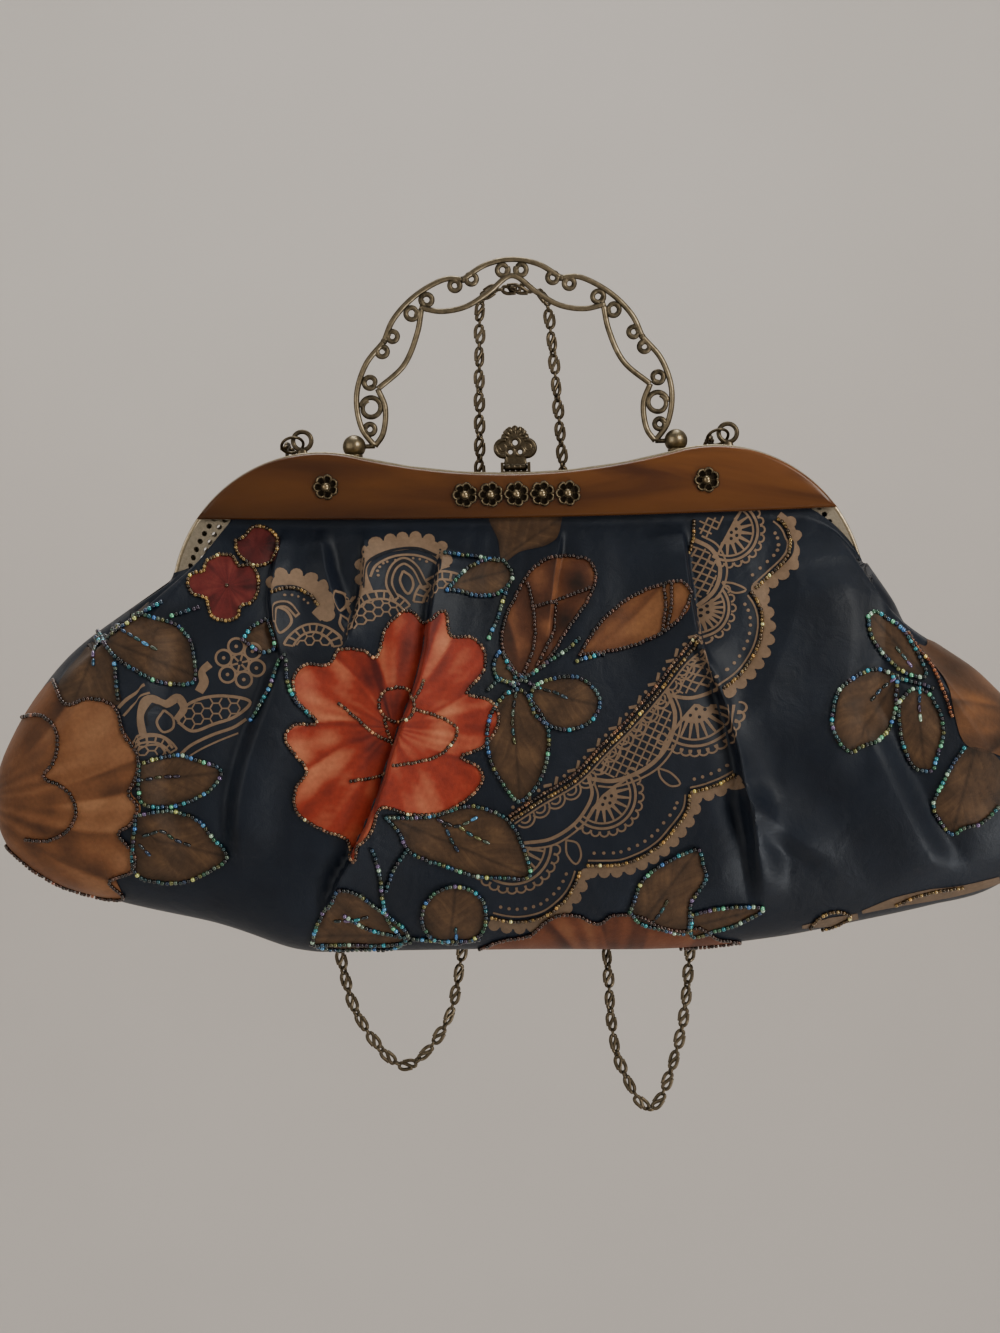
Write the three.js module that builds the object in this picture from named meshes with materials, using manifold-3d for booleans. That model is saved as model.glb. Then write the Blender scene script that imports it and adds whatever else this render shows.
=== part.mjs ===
// Beaded evening clutch: a gathered satin bag on a hinged metal frame with resin panels,
// a scroll handle and a long chain that lies doubled behind it.
// Millimetres, +Z up, the front faces -Y. The origin is the point under the handle where it hangs.

import * as THREE from "three";
import { mergeVertices } from "three/addons/utils/BufferGeometryUtils.js";
import Module from "manifold-3d";

const wasm = await Module();
wasm.setup();

// Clearance between pieces that touch, and the thickness of the cloth with its beadwork backing
const GAP = 0.3;
const CLOTH_WALL = 1.2;

// The bag's own frame: depth from the plane where the two halves close, height from the panels' lower edge
const CLOSING_Y = -3.2;
const PANEL_BASE_Z = -70.8;
const LUG_DEPTH = -CLOSING_Y;

// Frame outline: two humps and a saddle, all arcs that run into each other
const HUMP_X = 60;
const HUMP_TOP = 20.6;
const HUMP_RADIUS = 45;
const SADDLE_TOP = 13.2;
const HUMP_CENTRE_Z = HUMP_TOP - HUMP_RADIUS;
const HUMP_RISE = HUMP_TOP - SADDLE_TOP;
const SADDLE_RADIUS = (HUMP_X ** 2 + HUMP_RISE ** 2) / (2 * HUMP_RISE) - HUMP_RADIUS;
const SADDLE_CENTRE_Z = SADDLE_TOP + SADDLE_RADIUS;
const HUMP_STEPS = 9;
const SADDLE_STEPS = 6;
const ARC_JOINT_ANGLE = Math.atan2(SADDLE_CENTRE_Z - HUMP_CENTRE_Z, -HUMP_X);

// Metal halves: a rim that stands proud of the panel and a sewing flange, pierced at both ends
const RIM_LIP = 0.8;
const RIM_WALL = 1.2;
const RIM_DEPTH = 6.2;
const FLANGE_WALL = 1.0;
const FLANGE_LOWER_Z = -4;
const FLANGE_CORNER_X = 84;
const FLANGE_END_WIDTH = 10;
const PIERCING_RADIUS = 0.75;
const PIERCINGS = [
  { inset: 3.6, firstDeg: 31.5, stepDeg: 3.7, count: 5 },
  { inset: 6.3, firstDeg: 33.5, stepDeg: 4.0, count: 3 },
];

// Resin panels, rebated at the back for the tucked edge of the cloth
const PANEL_TIP_Z = 1.4;
const PANEL_BACK = RIM_DEPTH + GAP;
const PANEL_REBATE = 1.6;
const PANEL_PLATE = 2.8;
const PANEL_BEVEL = 0.9;
const PANEL_PAD_Z = 5;
const PANEL_PAD_INSET = 1.2;

// Rosettes: seven petals round a small dome
const ROSETTE_RADIUS = 3.7;
const ROSETTE_PETALS = 7;
const ROSETTE_PLATE = 0.9;
const ROSETTE_DOME_RADIUS = 1.4;
const ROSETTES = [
  { name: "rosette_left", x: -57.6, z: 10.2 },
  { name: "rosette_row_1", x: -15.6, z: 7.0 },
  { name: "rosette_row_2", x: -7.8, z: 7.0 },
  { name: "rosette_row_3", x: 0, z: 7.0 },
  { name: "rosette_row_4", x: 7.8, z: 7.0 },
  { name: "rosette_row_5", x: 15.6, z: 7.0 },
  { name: "rosette_right", x: 57.6, z: 10.2 },
];

// Ball lugs that carry the handle on its two pivots
const BALL_X = 49.8;
const BALL_Z = 23.9;
const BALL_RADIUS = 3.6;
const COLLAR_RADIUS = 2.3;
const PIVOT_BORE = 1.2;
const PIVOT_PIN = 0.75;

// Chain ears and the jump rings through them
const EAR_X = 65.9;
const EAR_Z = 26;
const EAR_RADIUS = 3.55;
const EAR_HOLE = 2.1;
const EAR_STEM = 2.9;
const EAR_SHEET = 1.0;
const JUMP_RING_RADIUS = 3.4;
const JUMP_RING_WIRE = 0.45;
const JUMP_RING_HANG = new THREE.Vector3(-3.1, 0.6, -1.2);
const JUMP_RING_LEAN = new THREE.Vector3(0, 0.8, -0.6);

// Clasp: a pierced tab on a pin between two cheeks
const CLASP_PIVOT_Z = 16.6;
const CLASP_CHEEK_X = 4.6;
const CLASP_CHEEK_WALL = 0.9;
const CLASP_CHEEK_TOP = 17.9;
const CLASP_BASE_DEPTH = 4.8;
const CLASP_FOOT = 0.8;
const CLASP_PIN = 0.6;
const CLASP_PIN_BORE = 0.98;
const TAB_SHEET = 1.0;
const TAB_STEM_HALF = 3.0;
const TAB_DISCS = [
  { part: "crown", x: 0, z: 25.1, radius: 3.4 },
  { part: "heart", x: 0, z: 22.2, radius: 3.9 },
  { part: "left lobe", x: -3.5, z: 22.5, radius: 2.7 },
  { part: "right lobe", x: 3.5, z: 22.5, radius: 2.7 },
];
const TAB_HOLES = [
  { part: "upper eye", x: 0, z: 24.2, radius: 1.05 },
  { part: "left eye", x: -1.5, z: 21.3, radius: 0.9 },
  { part: "right eye", x: 1.5, z: 21.3, radius: 0.9 },
];
const TAB_SCALLOPS = 5;
const TAB_SCALLOP_RADIUS = 1.1;

// Handle: wire arcs and curls, right half, heights from the hanging point; the left half mirrors it
const HANDLE_WIRE = 0.8;
const CURL_WIRE = 0.7;
const HANDLE_FOOT_X = 43.4;
const PIVOT_Z = PANEL_BASE_Z + BALL_Z;
const HANDLE_ARCS = [
  { arc: "crown", steps: 6, through: [[0, 10.2], [8.2, 8.6], [15.0, 4.1]] },
  { arc: "shoulder", steps: 8, through: [[15.6, 4.4], [20.4, 4.5], [30.0, -0.5], [37.0, -7.8], [39.9, -14.2]] },
  { arc: "leg", steps: 8, through: [[40.2, -14.8], [45.8, -21.6], [48.8, -31.5], [47.3, -41.4], [43.4, -46.9]] },
  { arc: "inner crown", steps: 7, through: [[0, 5.2], [7.4, 0], [14.5, -4.2], [22.2, -5.5], [28.8, -4.2]] },
  { arc: "inner side", steps: 6, through: [[28.2, -4.6], [29.6, -12.0], [34.0, -22.0], [42.2, -29.2]] },
  { arc: "inner leg", steps: 5, through: [[42.2, -29.2], [40.0, -35.0], [40.9, -43.2], [43.4, -46.9]] },
];
const HANDLE_CURLS = [
  { curl: "centre", x: 2.8, z: 6.9, radius: 1.9 },
  { curl: "crown end", x: 12.6, z: 4.3, radius: 1.8 },
  { curl: "shoulder start", x: 17.7, z: 2.4, radius: 1.8 },
  { curl: "inner crown end", x: 26.6, z: -1.9, radius: 2.0 },
  { curl: "inner side start", x: 31.2, z: -6.0, radius: 2.1 },
  { curl: "shoulder end", x: 37.4, z: -13.0, radius: 1.8 },
  { curl: "leg start", x: 40.6, z: -17.6, radius: 1.8 },
  { curl: "inner side end", x: 44.6, z: -27.2, radius: 2.0 },
  { curl: "leg ring", x: 44.4, z: -34.8, radius: 3.3 },
  { curl: "foot", x: 44.9, z: -41.6, radius: 1.8 },
];

// Chain: each half runs from its ear down behind the bag, round a loop below it and up to the hanging point
const CHAIN_RADIUS = 1.4;
const CHAIN_SIDES = 8;
const CHAIN_HALVES = [
  {
    name: "chain_left",
    hookOver: [[-70.2, 5.2, -47.2], [-70.5, 9.6, -47.0], [-70.6, 12.2, -50.4], [-70.5, 12.6, -56.0]],
    fall: [
      [-70.5, 12.6, -55.0], [-70.0, 13.0, -72.0], [-67.5, 19.6, -112.0], [-63.0, 22.4, -160.0],
      [-59.2, 22.0, -206.0], [-52.8, 21.6, -228.5], [-39.1, 21.4, -243.0], [-26.4, 21.6, -231.5],
      [-19.9, 22.0, -206.5], [-17.0, 22.4, -160.0], [-14.0, 19.6, -112.0], [-11.6, 13.0, -74.0],
      [-11.2, 10.6, -55.0], [-10.4, 6.4, -12.0], [-9.6, 5.4, -1.8], [-6.8, 5.2, 1.4], [-GAP / 2, 5.2, 2.0],
    ],
  },
  {
    name: "chain_right",
    hookOver: [[61.3, 5.2, -46.8], [61.2, 9.6, -46.4], [61.2, 12.2, -50.2], [61.1, 12.6, -56.0]],
    fall: [
      [61.1, 12.6, -55.0], [61.0, 13.0, -72.0], [59.4, 19.6, -112.0], [56.4, 22.4, -160.0],
      [53.2, 22.0, -208.0], [48.8, 21.6, -238.0], [39.6, 21.4, -258.3], [29.8, 21.6, -243.0],
      [26.4, 22.0, -208.0], [23.0, 22.4, -160.0], [19.4, 19.6, -112.0], [15.9, 13.0, -74.0],
      [15.1, 10.6, -55.0], [11.9, 6.4, -12.0], [10.4, 5.4, -1.8], [7.2, 5.2, 1.4], [GAP / 2, 5.2, 2.0],
    ],
  },
];
const CHAIN_HOOK_STEPS = 4;
const CHAIN_FALL_STEPS = 32;

// Cloth: each wall is drawn out from the frame's edge to the seam along fan lines u, from -1 to 1
const CLOTH_TUCK_Z = 3;
const CLOTH_TOP_DEPTH = RIM_DEPTH + GAP + CLOTH_WALL;
const FAN_SPREAD = 109;
const FAN_CORNER = 0.8;
const CLOTH_END = { x: 104.6, z: -14.6 };
const BELLY_START = 0.035;
const BELLY_PEAK = 0.4015;
const FAN_FULL_LENGTH = 118;
const FRONT_BELLY = 17.5;
const BACK_BELLY = 15.5;
const SEAM = [
  { u: -1.0, x: -108.6, z: -15.6 },
  { u: -0.955, x: -123, z: -27 },
  { u: -0.91, x: -139, z: -40 },
  { u: -0.87, x: -152, z: -57.5 },
  { u: -0.83, x: -160.5, z: -77 },
  { u: -0.79, x: -158.5, z: -95 },
  { u: -0.74, x: -146, z: -106.5 },
  { u: -0.69, x: -124, z: -113.5 },
  { u: -0.6, x: -95, z: -121 },
  { u: -0.42, x: -70, z: -128 },
  { u: -0.16, x: -48, z: -131 },
  { u: 0.06, x: 0, z: -131.6 },
  { u: 0.28, x: 45, z: -133 },
  { u: 0.487, x: 78, z: -130.6 },
  { u: 0.64, x: 104, z: -126 },
  { u: 0.74, x: 125, z: -121.5 },
  { u: 0.81, x: 143, z: -116.5 },
  { u: 0.855, x: 156.5, z: -106 },
  { u: 0.89, x: 161, z: -89 },
  { u: 0.92, x: 156, z: -68 },
  { u: 0.947, x: 142, z: -50.5 },
  { u: 0.975, x: 124, z: -37 },
  { u: 1.0, x: 108.6, z: -15 },
];

// Folds: the slow side of each rises to a crest on its fan line, the other side drops steeply
const FOLD_DROP = 0.024;
const FOLD_FADE = 0.1;
const FOLD_TROUGH = -0.45;
const FRONT_FOLDS = [
  { fold: "left sweep", u: -0.71, steepSide: -1, depth: 3.0, spread: 0.08, from: 0.25, to: 1.0 },
  { fold: "left pleat", u: -0.555, steepSide: 1, depth: 3.2, spread: 0.09, from: 0.03, to: 0.6 },
  { fold: "lace pleat", u: -0.42, steepSide: -1, depth: 3.2, spread: 0.1, from: 0.03, to: 0.5 },
  { fold: "flower fold", u: -0.165, steepSide: -1, depth: 5.0, spread: 0.13, from: 0.03, to: 1.0 },
  { fold: "centre tuck", u: 0.125, steepSide: 1, depth: 2.2, spread: 0.09, from: 0.03, to: 0.4 },
  { fold: "lace fold", u: 0.45, steepSide: 1, depth: 4.2, spread: 0.13, from: 0.03, to: 0.6 },
  { fold: "lower lace fold", u: 0.515, steepSide: -1, depth: 4.6, spread: 0.12, from: 0.35, to: 1.0 },
  { fold: "right sweep", u: 0.8, steepSide: 1, depth: 3.0, spread: 0.08, from: 0.25, to: 1.0 },
];
const BACK_FOLDS = [
  { fold: "left pleat", u: -0.5, steepSide: 1, depth: 1.5, spread: 0.12, from: 0.03, to: 0.7 },
  { fold: "right pleat", u: 0.5, steepSide: -1, depth: 1.5, spread: 0.12, from: 0.03, to: 0.7 },
];
const COLUMN_CLEARANCE = 0.024;
const FRONT_ROWS = 11;
const BACK_ROWS = 7;

// Hidden hinge plates that join the halves inside the rim's ends
const HINGE_PLATE = { width: 1.0, depth: 9, height: 8, inset: 2.6, z: -19.4 };

// Materials
const metal = (color, roughness) => new THREE.MeshStandardMaterial({ color, metalness: 1, roughness });
const antiqueBrass = metal(0x7d6f50, 0.4);
const paleGold = metal(0xb8a888, 0.35);
const darkBronze = metal(0x4d4436, 0.45);
const resin = new THREE.MeshStandardMaterial({ color: 0x7a4812, roughness: 0.25 });
const satin = new THREE.MeshStandardMaterial({ color: 0x2b3541, roughness: 0.6 });

const part = new THREE.Group();
part.name = "beaded_clutch";

const addMesh = (name, geometry, material, x, y, z) => {
  geometry.translate(x, y, z);
  const mesh = new THREE.Mesh(geometry, material);
  mesh.name = name;
  part.add(mesh);
};

// A piece measured in the bag's own frame
const addToBag = (name, geometry, material) => addMesh(name, geometry, material, 0, CLOSING_Y, PANEL_BASE_Z);

const toManifold = (geometry) => {
  geometry.deleteAttribute("normal");
  geometry.deleteAttribute("uv");
  const welded = mergeVertices(geometry, 1e-4);
  return new wasm.Manifold(new wasm.Mesh({
    numProp: 3,
    vertProperties: new Float32Array(welded.attributes.position.array),
    triVerts: new Uint32Array(welded.index.array),
  }));
};

const toGeometry = (solid) => {
  const mesh = solid.getMesh();
  const geometry = new THREE.BufferGeometry();
  geometry.setAttribute("position", new THREE.BufferAttribute(new Float32Array(mesh.vertProperties), 3));
  geometry.setIndex(new THREE.BufferAttribute(new Uint32Array(mesh.triVerts), 1));
  geometry.computeVertexNormals();
  return geometry;
};

const join = (geometries) => geometries.map(toManifold).reduce((whole, piece) => whole.add(piece));
const cut = (solid, geometries) => geometries.map(toManifold).reduce((left, tool) => left.subtract(tool), solid);

// A flat outline in X and Z, thickened from depth near to depth far along Y
const plate = (outline, near, far, options = {}) => {
  const geometry = new THREE.ExtrudeGeometry(outline, {
    depth: far - near,
    bevelEnabled: false,
    curveSegments: 8,
    ...options,
  });
  geometry.rotateX(Math.PI / 2);
  geometry.translate(0, far, 0);
  return geometry;
};

const disc = (x, z, radius, near, far, sides) => {
  const geometry = new THREE.CylinderGeometry(radius, radius, far - near, sides);
  geometry.translate(x, (near + far) / 2, z);
  return geometry;
};

const rodAlongX = (fromX, toX, y, z, radius, sides) => {
  const geometry = new THREE.CylinderGeometry(radius, radius, Math.abs(toX - fromX), sides);
  geometry.rotateZ(Math.PI / 2);
  geometry.translate((fromX + toX) / 2, y, z);
  return geometry;
};

const box = (fromX, toX, fromY, toY, fromZ, toZ) => {
  const geometry = new THREE.BoxGeometry(toX - fromX, toY - fromY, toZ - fromZ);
  geometry.translate((fromX + toX) / 2, (fromY + toY) / 2, (fromZ + toZ) / 2);
  return geometry;
};

const polygon = (radius, sides) => {
  const centre = new THREE.Vector2();
  const corner = (_, k) => new THREE.Vector2(radius, 0).rotateAround(centre, (2 * Math.PI * k) / sides);
  return new THREE.Shape(Array.from({ length: sides }, corner));
};

const arcPoints = (x, z, radius, fromAngle, toAngle, steps) => Array.from({ length: steps + 1 }, (_, k) => {
  const angle = fromAngle + ((toAngle - fromAngle) * k) / steps;
  return new THREE.Vector2(x + radius * Math.cos(angle), z + radius * Math.sin(angle));
});

// The frame's outline from its left end to its right, at an offset outside the panels' edge
const frameCurve = (offset, endAngle) => {
  const hump = HUMP_RADIUS + offset;
  const saddle = SADDLE_RADIUS - offset;
  return [
    ...arcPoints(-HUMP_X, HUMP_CENTRE_Z, hump, Math.PI - endAngle, Math.PI - ARC_JOINT_ANGLE, HUMP_STEPS),
    ...arcPoints(0, SADDLE_CENTRE_Z, saddle, -ARC_JOINT_ANGLE, ARC_JOINT_ANGLE - Math.PI, SADDLE_STEPS).slice(1, -1),
    ...arcPoints(HUMP_X, HUMP_CENTRE_Z, hump, ARC_JOINT_ANGLE, endAngle, HUMP_STEPS),
  ];
};

// Metal half frames: the rim band and the pierced flange are one piece; the back half mirrors the front
const halfFrame = (side) => {
  const outer = frameCurve(RIM_LIP, 0);
  const inner = frameCurve(RIM_LIP - RIM_WALL, 0);
  const band = new THREE.Shape([...outer, ...inner.reverse()]);
  const flangeEnd = HUMP_X + HUMP_RADIUS - FLANGE_END_WIDTH;
  const flange = new THREE.Shape([
    ...outer,
    new THREE.Vector2(flangeEnd, HUMP_CENTRE_Z),
    new THREE.Vector2(FLANGE_CORNER_X, FLANGE_LOWER_Z),
    new THREE.Vector2(-FLANGE_CORNER_X, FLANGE_LOWER_Z),
    new THREE.Vector2(-flangeEnd, HUMP_CENTRE_Z),
  ]);
  for (const end of [-1, 1]) {
    for (const row of PIERCINGS) {
      for (let k = 0; k < row.count; k += 1) {
        const angle = THREE.MathUtils.degToRad(row.firstDeg - k * row.stepDeg);
        const reach = HUMP_RADIUS - row.inset;
        const hole = new THREE.Path(arcPoints(
          end * (HUMP_X + reach * Math.cos(angle)),
          HUMP_CENTRE_Z + reach * Math.sin(angle),
          PIERCING_RADIUS,
          0,
          (2 * Math.PI * 5) / 6,
          5,
        ));
        flange.holes.push(hole);
      }
    }
  }
  const near = side < 0 ? -RIM_DEPTH : GAP / 2;
  const far = side < 0 ? -GAP / 2 : RIM_DEPTH;
  const flangeNear = side < 0 ? -RIM_DEPTH : RIM_DEPTH - FLANGE_WALL;
  return toGeometry(join([plate(band, near, far), plate(flange, flangeNear, flangeNear + FLANGE_WALL)]));
};

addToBag("frame_front", halfFrame(-1), paleGold);
addToBag("frame_back", halfFrame(1), paleGold);

for (const [name, side] of [["hinge_left", -1], ["hinge_right", 1]]) {
  const middle = side * (HUMP_X + HUMP_RADIUS - HINGE_PLATE.inset);
  addToBag(name, box(
    middle - HINGE_PLATE.width / 2,
    middle + HINGE_PLATE.width / 2,
    -HINGE_PLATE.depth / 2,
    HINGE_PLATE.depth / 2,
    HINGE_PLATE.z - HINGE_PLATE.height / 2,
    HINGE_PLATE.z + HINGE_PLATE.height / 2,
  ), paleGold);
}

// Resin panels: a bevelled plate on a pad that stops above the tucked cloth
const panel = (side) => {
  const tipAngle = Math.asin((PANEL_TIP_Z - HUMP_CENTRE_Z) / HUMP_RADIUS);
  const edge = frameCurve(0, tipAngle);
  const tip = edge[edge.length - 1];
  const lower = Array.from({ length: 7 }, (_, k) => {
    const x = tip.x * (1 - (k + 1) / 4);
    return new THREE.Vector2(x, PANEL_TIP_Z * (x / tip.x) ** 2);
  });
  const padAngle = Math.asin((PANEL_PAD_Z - HUMP_CENTRE_Z) / (HUMP_RADIUS - PANEL_PAD_INSET));
  const face = new THREE.Shape([...edge, ...lower]);
  const pad = new THREE.Shape(frameCurve(-PANEL_PAD_INSET, padAngle));
  const plateBack = PANEL_BACK + PANEL_REBATE;
  const plateFront = plateBack + PANEL_PLATE;
  const bevel = {
    bevelEnabled: true,
    bevelSegments: 1,
    bevelSize: PANEL_BEVEL,
    bevelOffset: -PANEL_BEVEL,
    bevelThickness: PANEL_BEVEL,
  };
  const depths = (back, front) => (side < 0 ? [-front, -back] : [back, front]);
  const slab = plate(face, ...depths(plateBack + PANEL_BEVEL, plateFront - PANEL_BEVEL), bevel);
  return toGeometry(join([slab, plate(pad, ...depths(PANEL_BACK, plateBack + PANEL_BEVEL))]));
};

addToBag("panel_front", panel(-1), resin);
addToBag("panel_back", panel(1), resin);

// Rosettes on the front panel
const rosette = (x, z) => {
  const turns = ROSETTE_PETALS * 3;
  const outline = Array.from({ length: turns }, (_, k) => {
    const angle = (2 * Math.PI * k) / turns;
    const swell = Math.abs(Math.sin((ROSETTE_PETALS * angle) / 2));
    const radius = ROSETTE_RADIUS * (0.8 + 0.2 * Math.sqrt(swell));
    return new THREE.Vector2(x + radius * Math.cos(angle), z + radius * Math.sin(angle));
  });
  const back = -(PANEL_BACK + PANEL_REBATE + PANEL_PLATE + GAP);
  const dome = new THREE.SphereGeometry(ROSETTE_DOME_RADIUS, 7, 4);
  dome.rotateX(Math.PI / 2);
  dome.translate(x, back - ROSETTE_PLATE * 1.1, z);
  const petals = plate(new THREE.Shape(outline), back - ROSETTE_PLATE, back);
  const flatBack = box(x - 4, x + 4, back, back + 4, z - 4, z + 4);
  return toGeometry(cut(join([petals, dome]), [flatBack]));
};

for (const { name, x, z } of ROSETTES) {
  addToBag(name, rosette(x, z), antiqueBrass);
}

// Ball lugs stand on the back half's rim, each bored from its inner side for the handle's pin
const frameTopAt = (x) => HUMP_CENTRE_Z + Math.sqrt((HUMP_RADIUS + RIM_LIP) ** 2 - (x - HUMP_X) ** 2);

const ballLug = (side) => {
  const footZ = frameTopAt(BALL_X) + GAP + 0.15;
  const ball = new THREE.SphereGeometry(BALL_RADIUS, 12, 7);
  ball.rotateX(Math.PI / 2);
  ball.translate(side * BALL_X, LUG_DEPTH, BALL_Z);
  const collar = new THREE.CylinderGeometry(COLLAR_RADIUS, COLLAR_RADIUS, BALL_Z - footZ, 8);
  collar.rotateX(Math.PI / 2);
  collar.translate(side * BALL_X, LUG_DEPTH, (BALL_Z + footZ) / 2);
  const bore = rodAlongX(side * (BALL_X - 0.7), side * (BALL_X - 8), LUG_DEPTH, BALL_Z, PIVOT_BORE, 8);
  return toGeometry(cut(join([ball, collar]), [bore]));
};

addToBag("ball_lug_left", ballLug(-1), antiqueBrass);
addToBag("ball_lug_right", ballLug(1), antiqueBrass);

// Chain ears: flat tabs with an eye, standing on the back half's rim
const ear = (side) => {
  const footZ = frameTopAt(EAR_X) + GAP + 0.15;
  const lowest = -Math.acos(EAR_STEM / 2 / EAR_RADIUS);
  const outline = new THREE.Shape([
    ...arcPoints(side * EAR_X, EAR_Z, EAR_RADIUS, lowest, Math.PI - lowest, 12),
    new THREE.Vector2(side * EAR_X - EAR_STEM / 2, footZ),
    new THREE.Vector2(side * EAR_X + EAR_STEM / 2, footZ),
  ]);
  outline.holes.push(new THREE.Path(arcPoints(side * EAR_X, EAR_Z, EAR_HOLE, 0, (2 * Math.PI * 9) / 10, 9)));
  return plate(outline, LUG_DEPTH - EAR_SHEET / 2, LUG_DEPTH + EAR_SHEET / 2);
};

addToBag("ear_left", ear(-1), darkBronze);
addToBag("ear_right", ear(1), darkBronze);

// Jump rings pass through the ears' eyes and lean back over the rim
const jumpRing = (side) => {
  const along = JUMP_RING_HANG.clone().normalize();
  const lean = JUMP_RING_LEAN.clone().addScaledVector(along, -JUMP_RING_LEAN.dot(along)).normalize();
  const basis = new THREE.Matrix4().makeBasis(along, lean, along.clone().cross(lean));
  const ring = new THREE.TorusGeometry(JUMP_RING_RADIUS, JUMP_RING_WIRE, 4, 12);
  ring.applyMatrix4(basis);
  ring.translate(side * EAR_X, LUG_DEPTH, EAR_Z);
  return ring.translate(...JUMP_RING_HANG.toArray());
};

addToBag("jump_ring_left", jumpRing(-1), darkBronze);
addToBag("jump_ring_right", jumpRing(1), darkBronze);

// Clasp base: two cheeks on a foot; the tab's pin turns in their bores
const claspBack = LUG_DEPTH + CLASP_BASE_DEPTH / 2;
const claspFront = LUG_DEPTH - CLASP_BASE_DEPTH / 2;
const claspFootZ = SADDLE_TOP + RIM_LIP + GAP + 0.1;
const cheek = (side) => {
  const inside = side * (CLASP_CHEEK_X - CLASP_CHEEK_WALL);
  const outside = side * CLASP_CHEEK_X;
  return box(
    Math.min(inside, outside),
    Math.max(inside, outside),
    claspFront,
    claspBack,
    claspFootZ,
    CLASP_CHEEK_TOP,
  );
};
const claspFoot = box(
  -CLASP_CHEEK_X,
  CLASP_CHEEK_X,
  claspFront,
  claspBack,
  claspFootZ,
  claspFootZ + CLASP_FOOT,
);
const pinBore = rodAlongX(-CLASP_CHEEK_X - 1, CLASP_CHEEK_X + 1, LUG_DEPTH, CLASP_PIVOT_Z, CLASP_PIN_BORE, 10);
addToBag("clasp_base", toGeometry(cut(join([cheek(-1), cheek(1), claspFoot]), [pinBore])), darkBronze);

// Clasp tab: overlapping discs with a scalloped crown, pierced by three eyes
const tabNear = LUG_DEPTH - TAB_SHEET / 2;
const tabFar = LUG_DEPTH + TAB_SHEET / 2;
const crownDisc = TAB_DISCS[0];
const tabPieces = TAB_DISCS.map(({ x, z, radius }) => disc(x, z, radius, tabNear, tabFar, 10));
for (let k = 0; k < TAB_SCALLOPS; k += 1) {
  const angle = (Math.PI * (k + 0.5)) / TAB_SCALLOPS;
  tabPieces.push(disc(
    crownDisc.radius * Math.cos(angle),
    crownDisc.z + crownDisc.radius * Math.sin(angle),
    TAB_SCALLOP_RADIUS,
    tabNear,
    tabFar,
    6,
  ));
}
tabPieces.push(box(-TAB_STEM_HALF, TAB_STEM_HALF, tabNear, tabFar, CLASP_PIVOT_Z - 0.9, crownDisc.z));
tabPieces.push(rodAlongX(-CLASP_CHEEK_X, CLASP_CHEEK_X, LUG_DEPTH, CLASP_PIVOT_Z, CLASP_PIN, 8));
const tabEyes = TAB_HOLES.map(({ x, z, radius }) => disc(x, z, radius, tabNear - 1, tabFar + 1, 8));
addToBag("clasp_tab", toGeometry(cut(join(tabPieces), tabEyes)), darkBronze);

// Handle: every arc and curl soldered into one piece, with a pivot pin at each foot
const wire = (points, radius, steps) => {
  const path = new THREE.CatmullRomCurve3(points.map(([x, z]) => new THREE.Vector3(x, 0, z)));
  return new THREE.ExtrudeGeometry(polygon(radius, 4), { extrudePath: path, steps, bevelEnabled: false });
};

const curl = (x, z, radius) => {
  const ring = new THREE.TorusGeometry(radius, CURL_WIRE, 4, 7);
  ring.rotateX(Math.PI / 2);
  return ring.translate(x, 0, z);
};

const handlePieces = [];
for (const { steps, through } of HANDLE_ARCS) {
  const mirrored = through.map(([x, z]) => [-x, z]);
  const crossesCentre = through[0][0] === 0;
  if (crossesCentre) {
    handlePieces.push(wire([...mirrored.reverse(), ...through.slice(1)], HANDLE_WIRE, 2 * steps));
  } else {
    handlePieces.push(wire(through, HANDLE_WIRE, steps), wire(mirrored, HANDLE_WIRE, steps));
  }
}
for (const { x, z, radius } of HANDLE_CURLS) {
  handlePieces.push(curl(x, z, radius), curl(-x, z, radius));
}
for (const side of [-1, 1]) {
  handlePieces.push(rodAlongX(side * HANDLE_FOOT_X, side * (BALL_X - 1.2), 0, PIVOT_Z, PIVOT_PIN, 8));
}
addMesh("handle", toGeometry(join(handlePieces)), antiqueBrass, 0, 0, 0);

// Chain halves as tubes of the links' width, hooked over the back panel and then falling free
const chainTube = (points, steps) => {
  const line = new THREE.CatmullRomCurve3(points.map((point) => new THREE.Vector3(...point)));
  return new THREE.ExtrudeGeometry(polygon(CHAIN_RADIUS, CHAIN_SIDES), {
    extrudePath: line,
    steps,
    bevelEnabled: false,
  });
};

for (const { name, hookOver, fall } of CHAIN_HALVES) {
  const half = join([chainTube(hookOver, CHAIN_HOOK_STEPS), chainTube(fall, CHAIN_FALL_STEPS)]);
  addMesh(name, toGeometry(half), darkBronze, 0, 0, 0);
}

// Where fan line u leaves the frame: level behind the panel, then slanting down to the frame's end
const frameEdge = (u) => {
  const past = Math.max(0, Math.abs(u) - FAN_CORNER) / (1 - FAN_CORNER);
  const corner = FAN_SPREAD * Math.min(Math.abs(u), FAN_CORNER);
  return new THREE.Vector2(
    Math.sign(u) * THREE.MathUtils.lerp(corner, CLOTH_END.x, past),
    THREE.MathUtils.lerp(CLOTH_TUCK_Z, CLOTH_END.z, past),
  );
};

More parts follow.
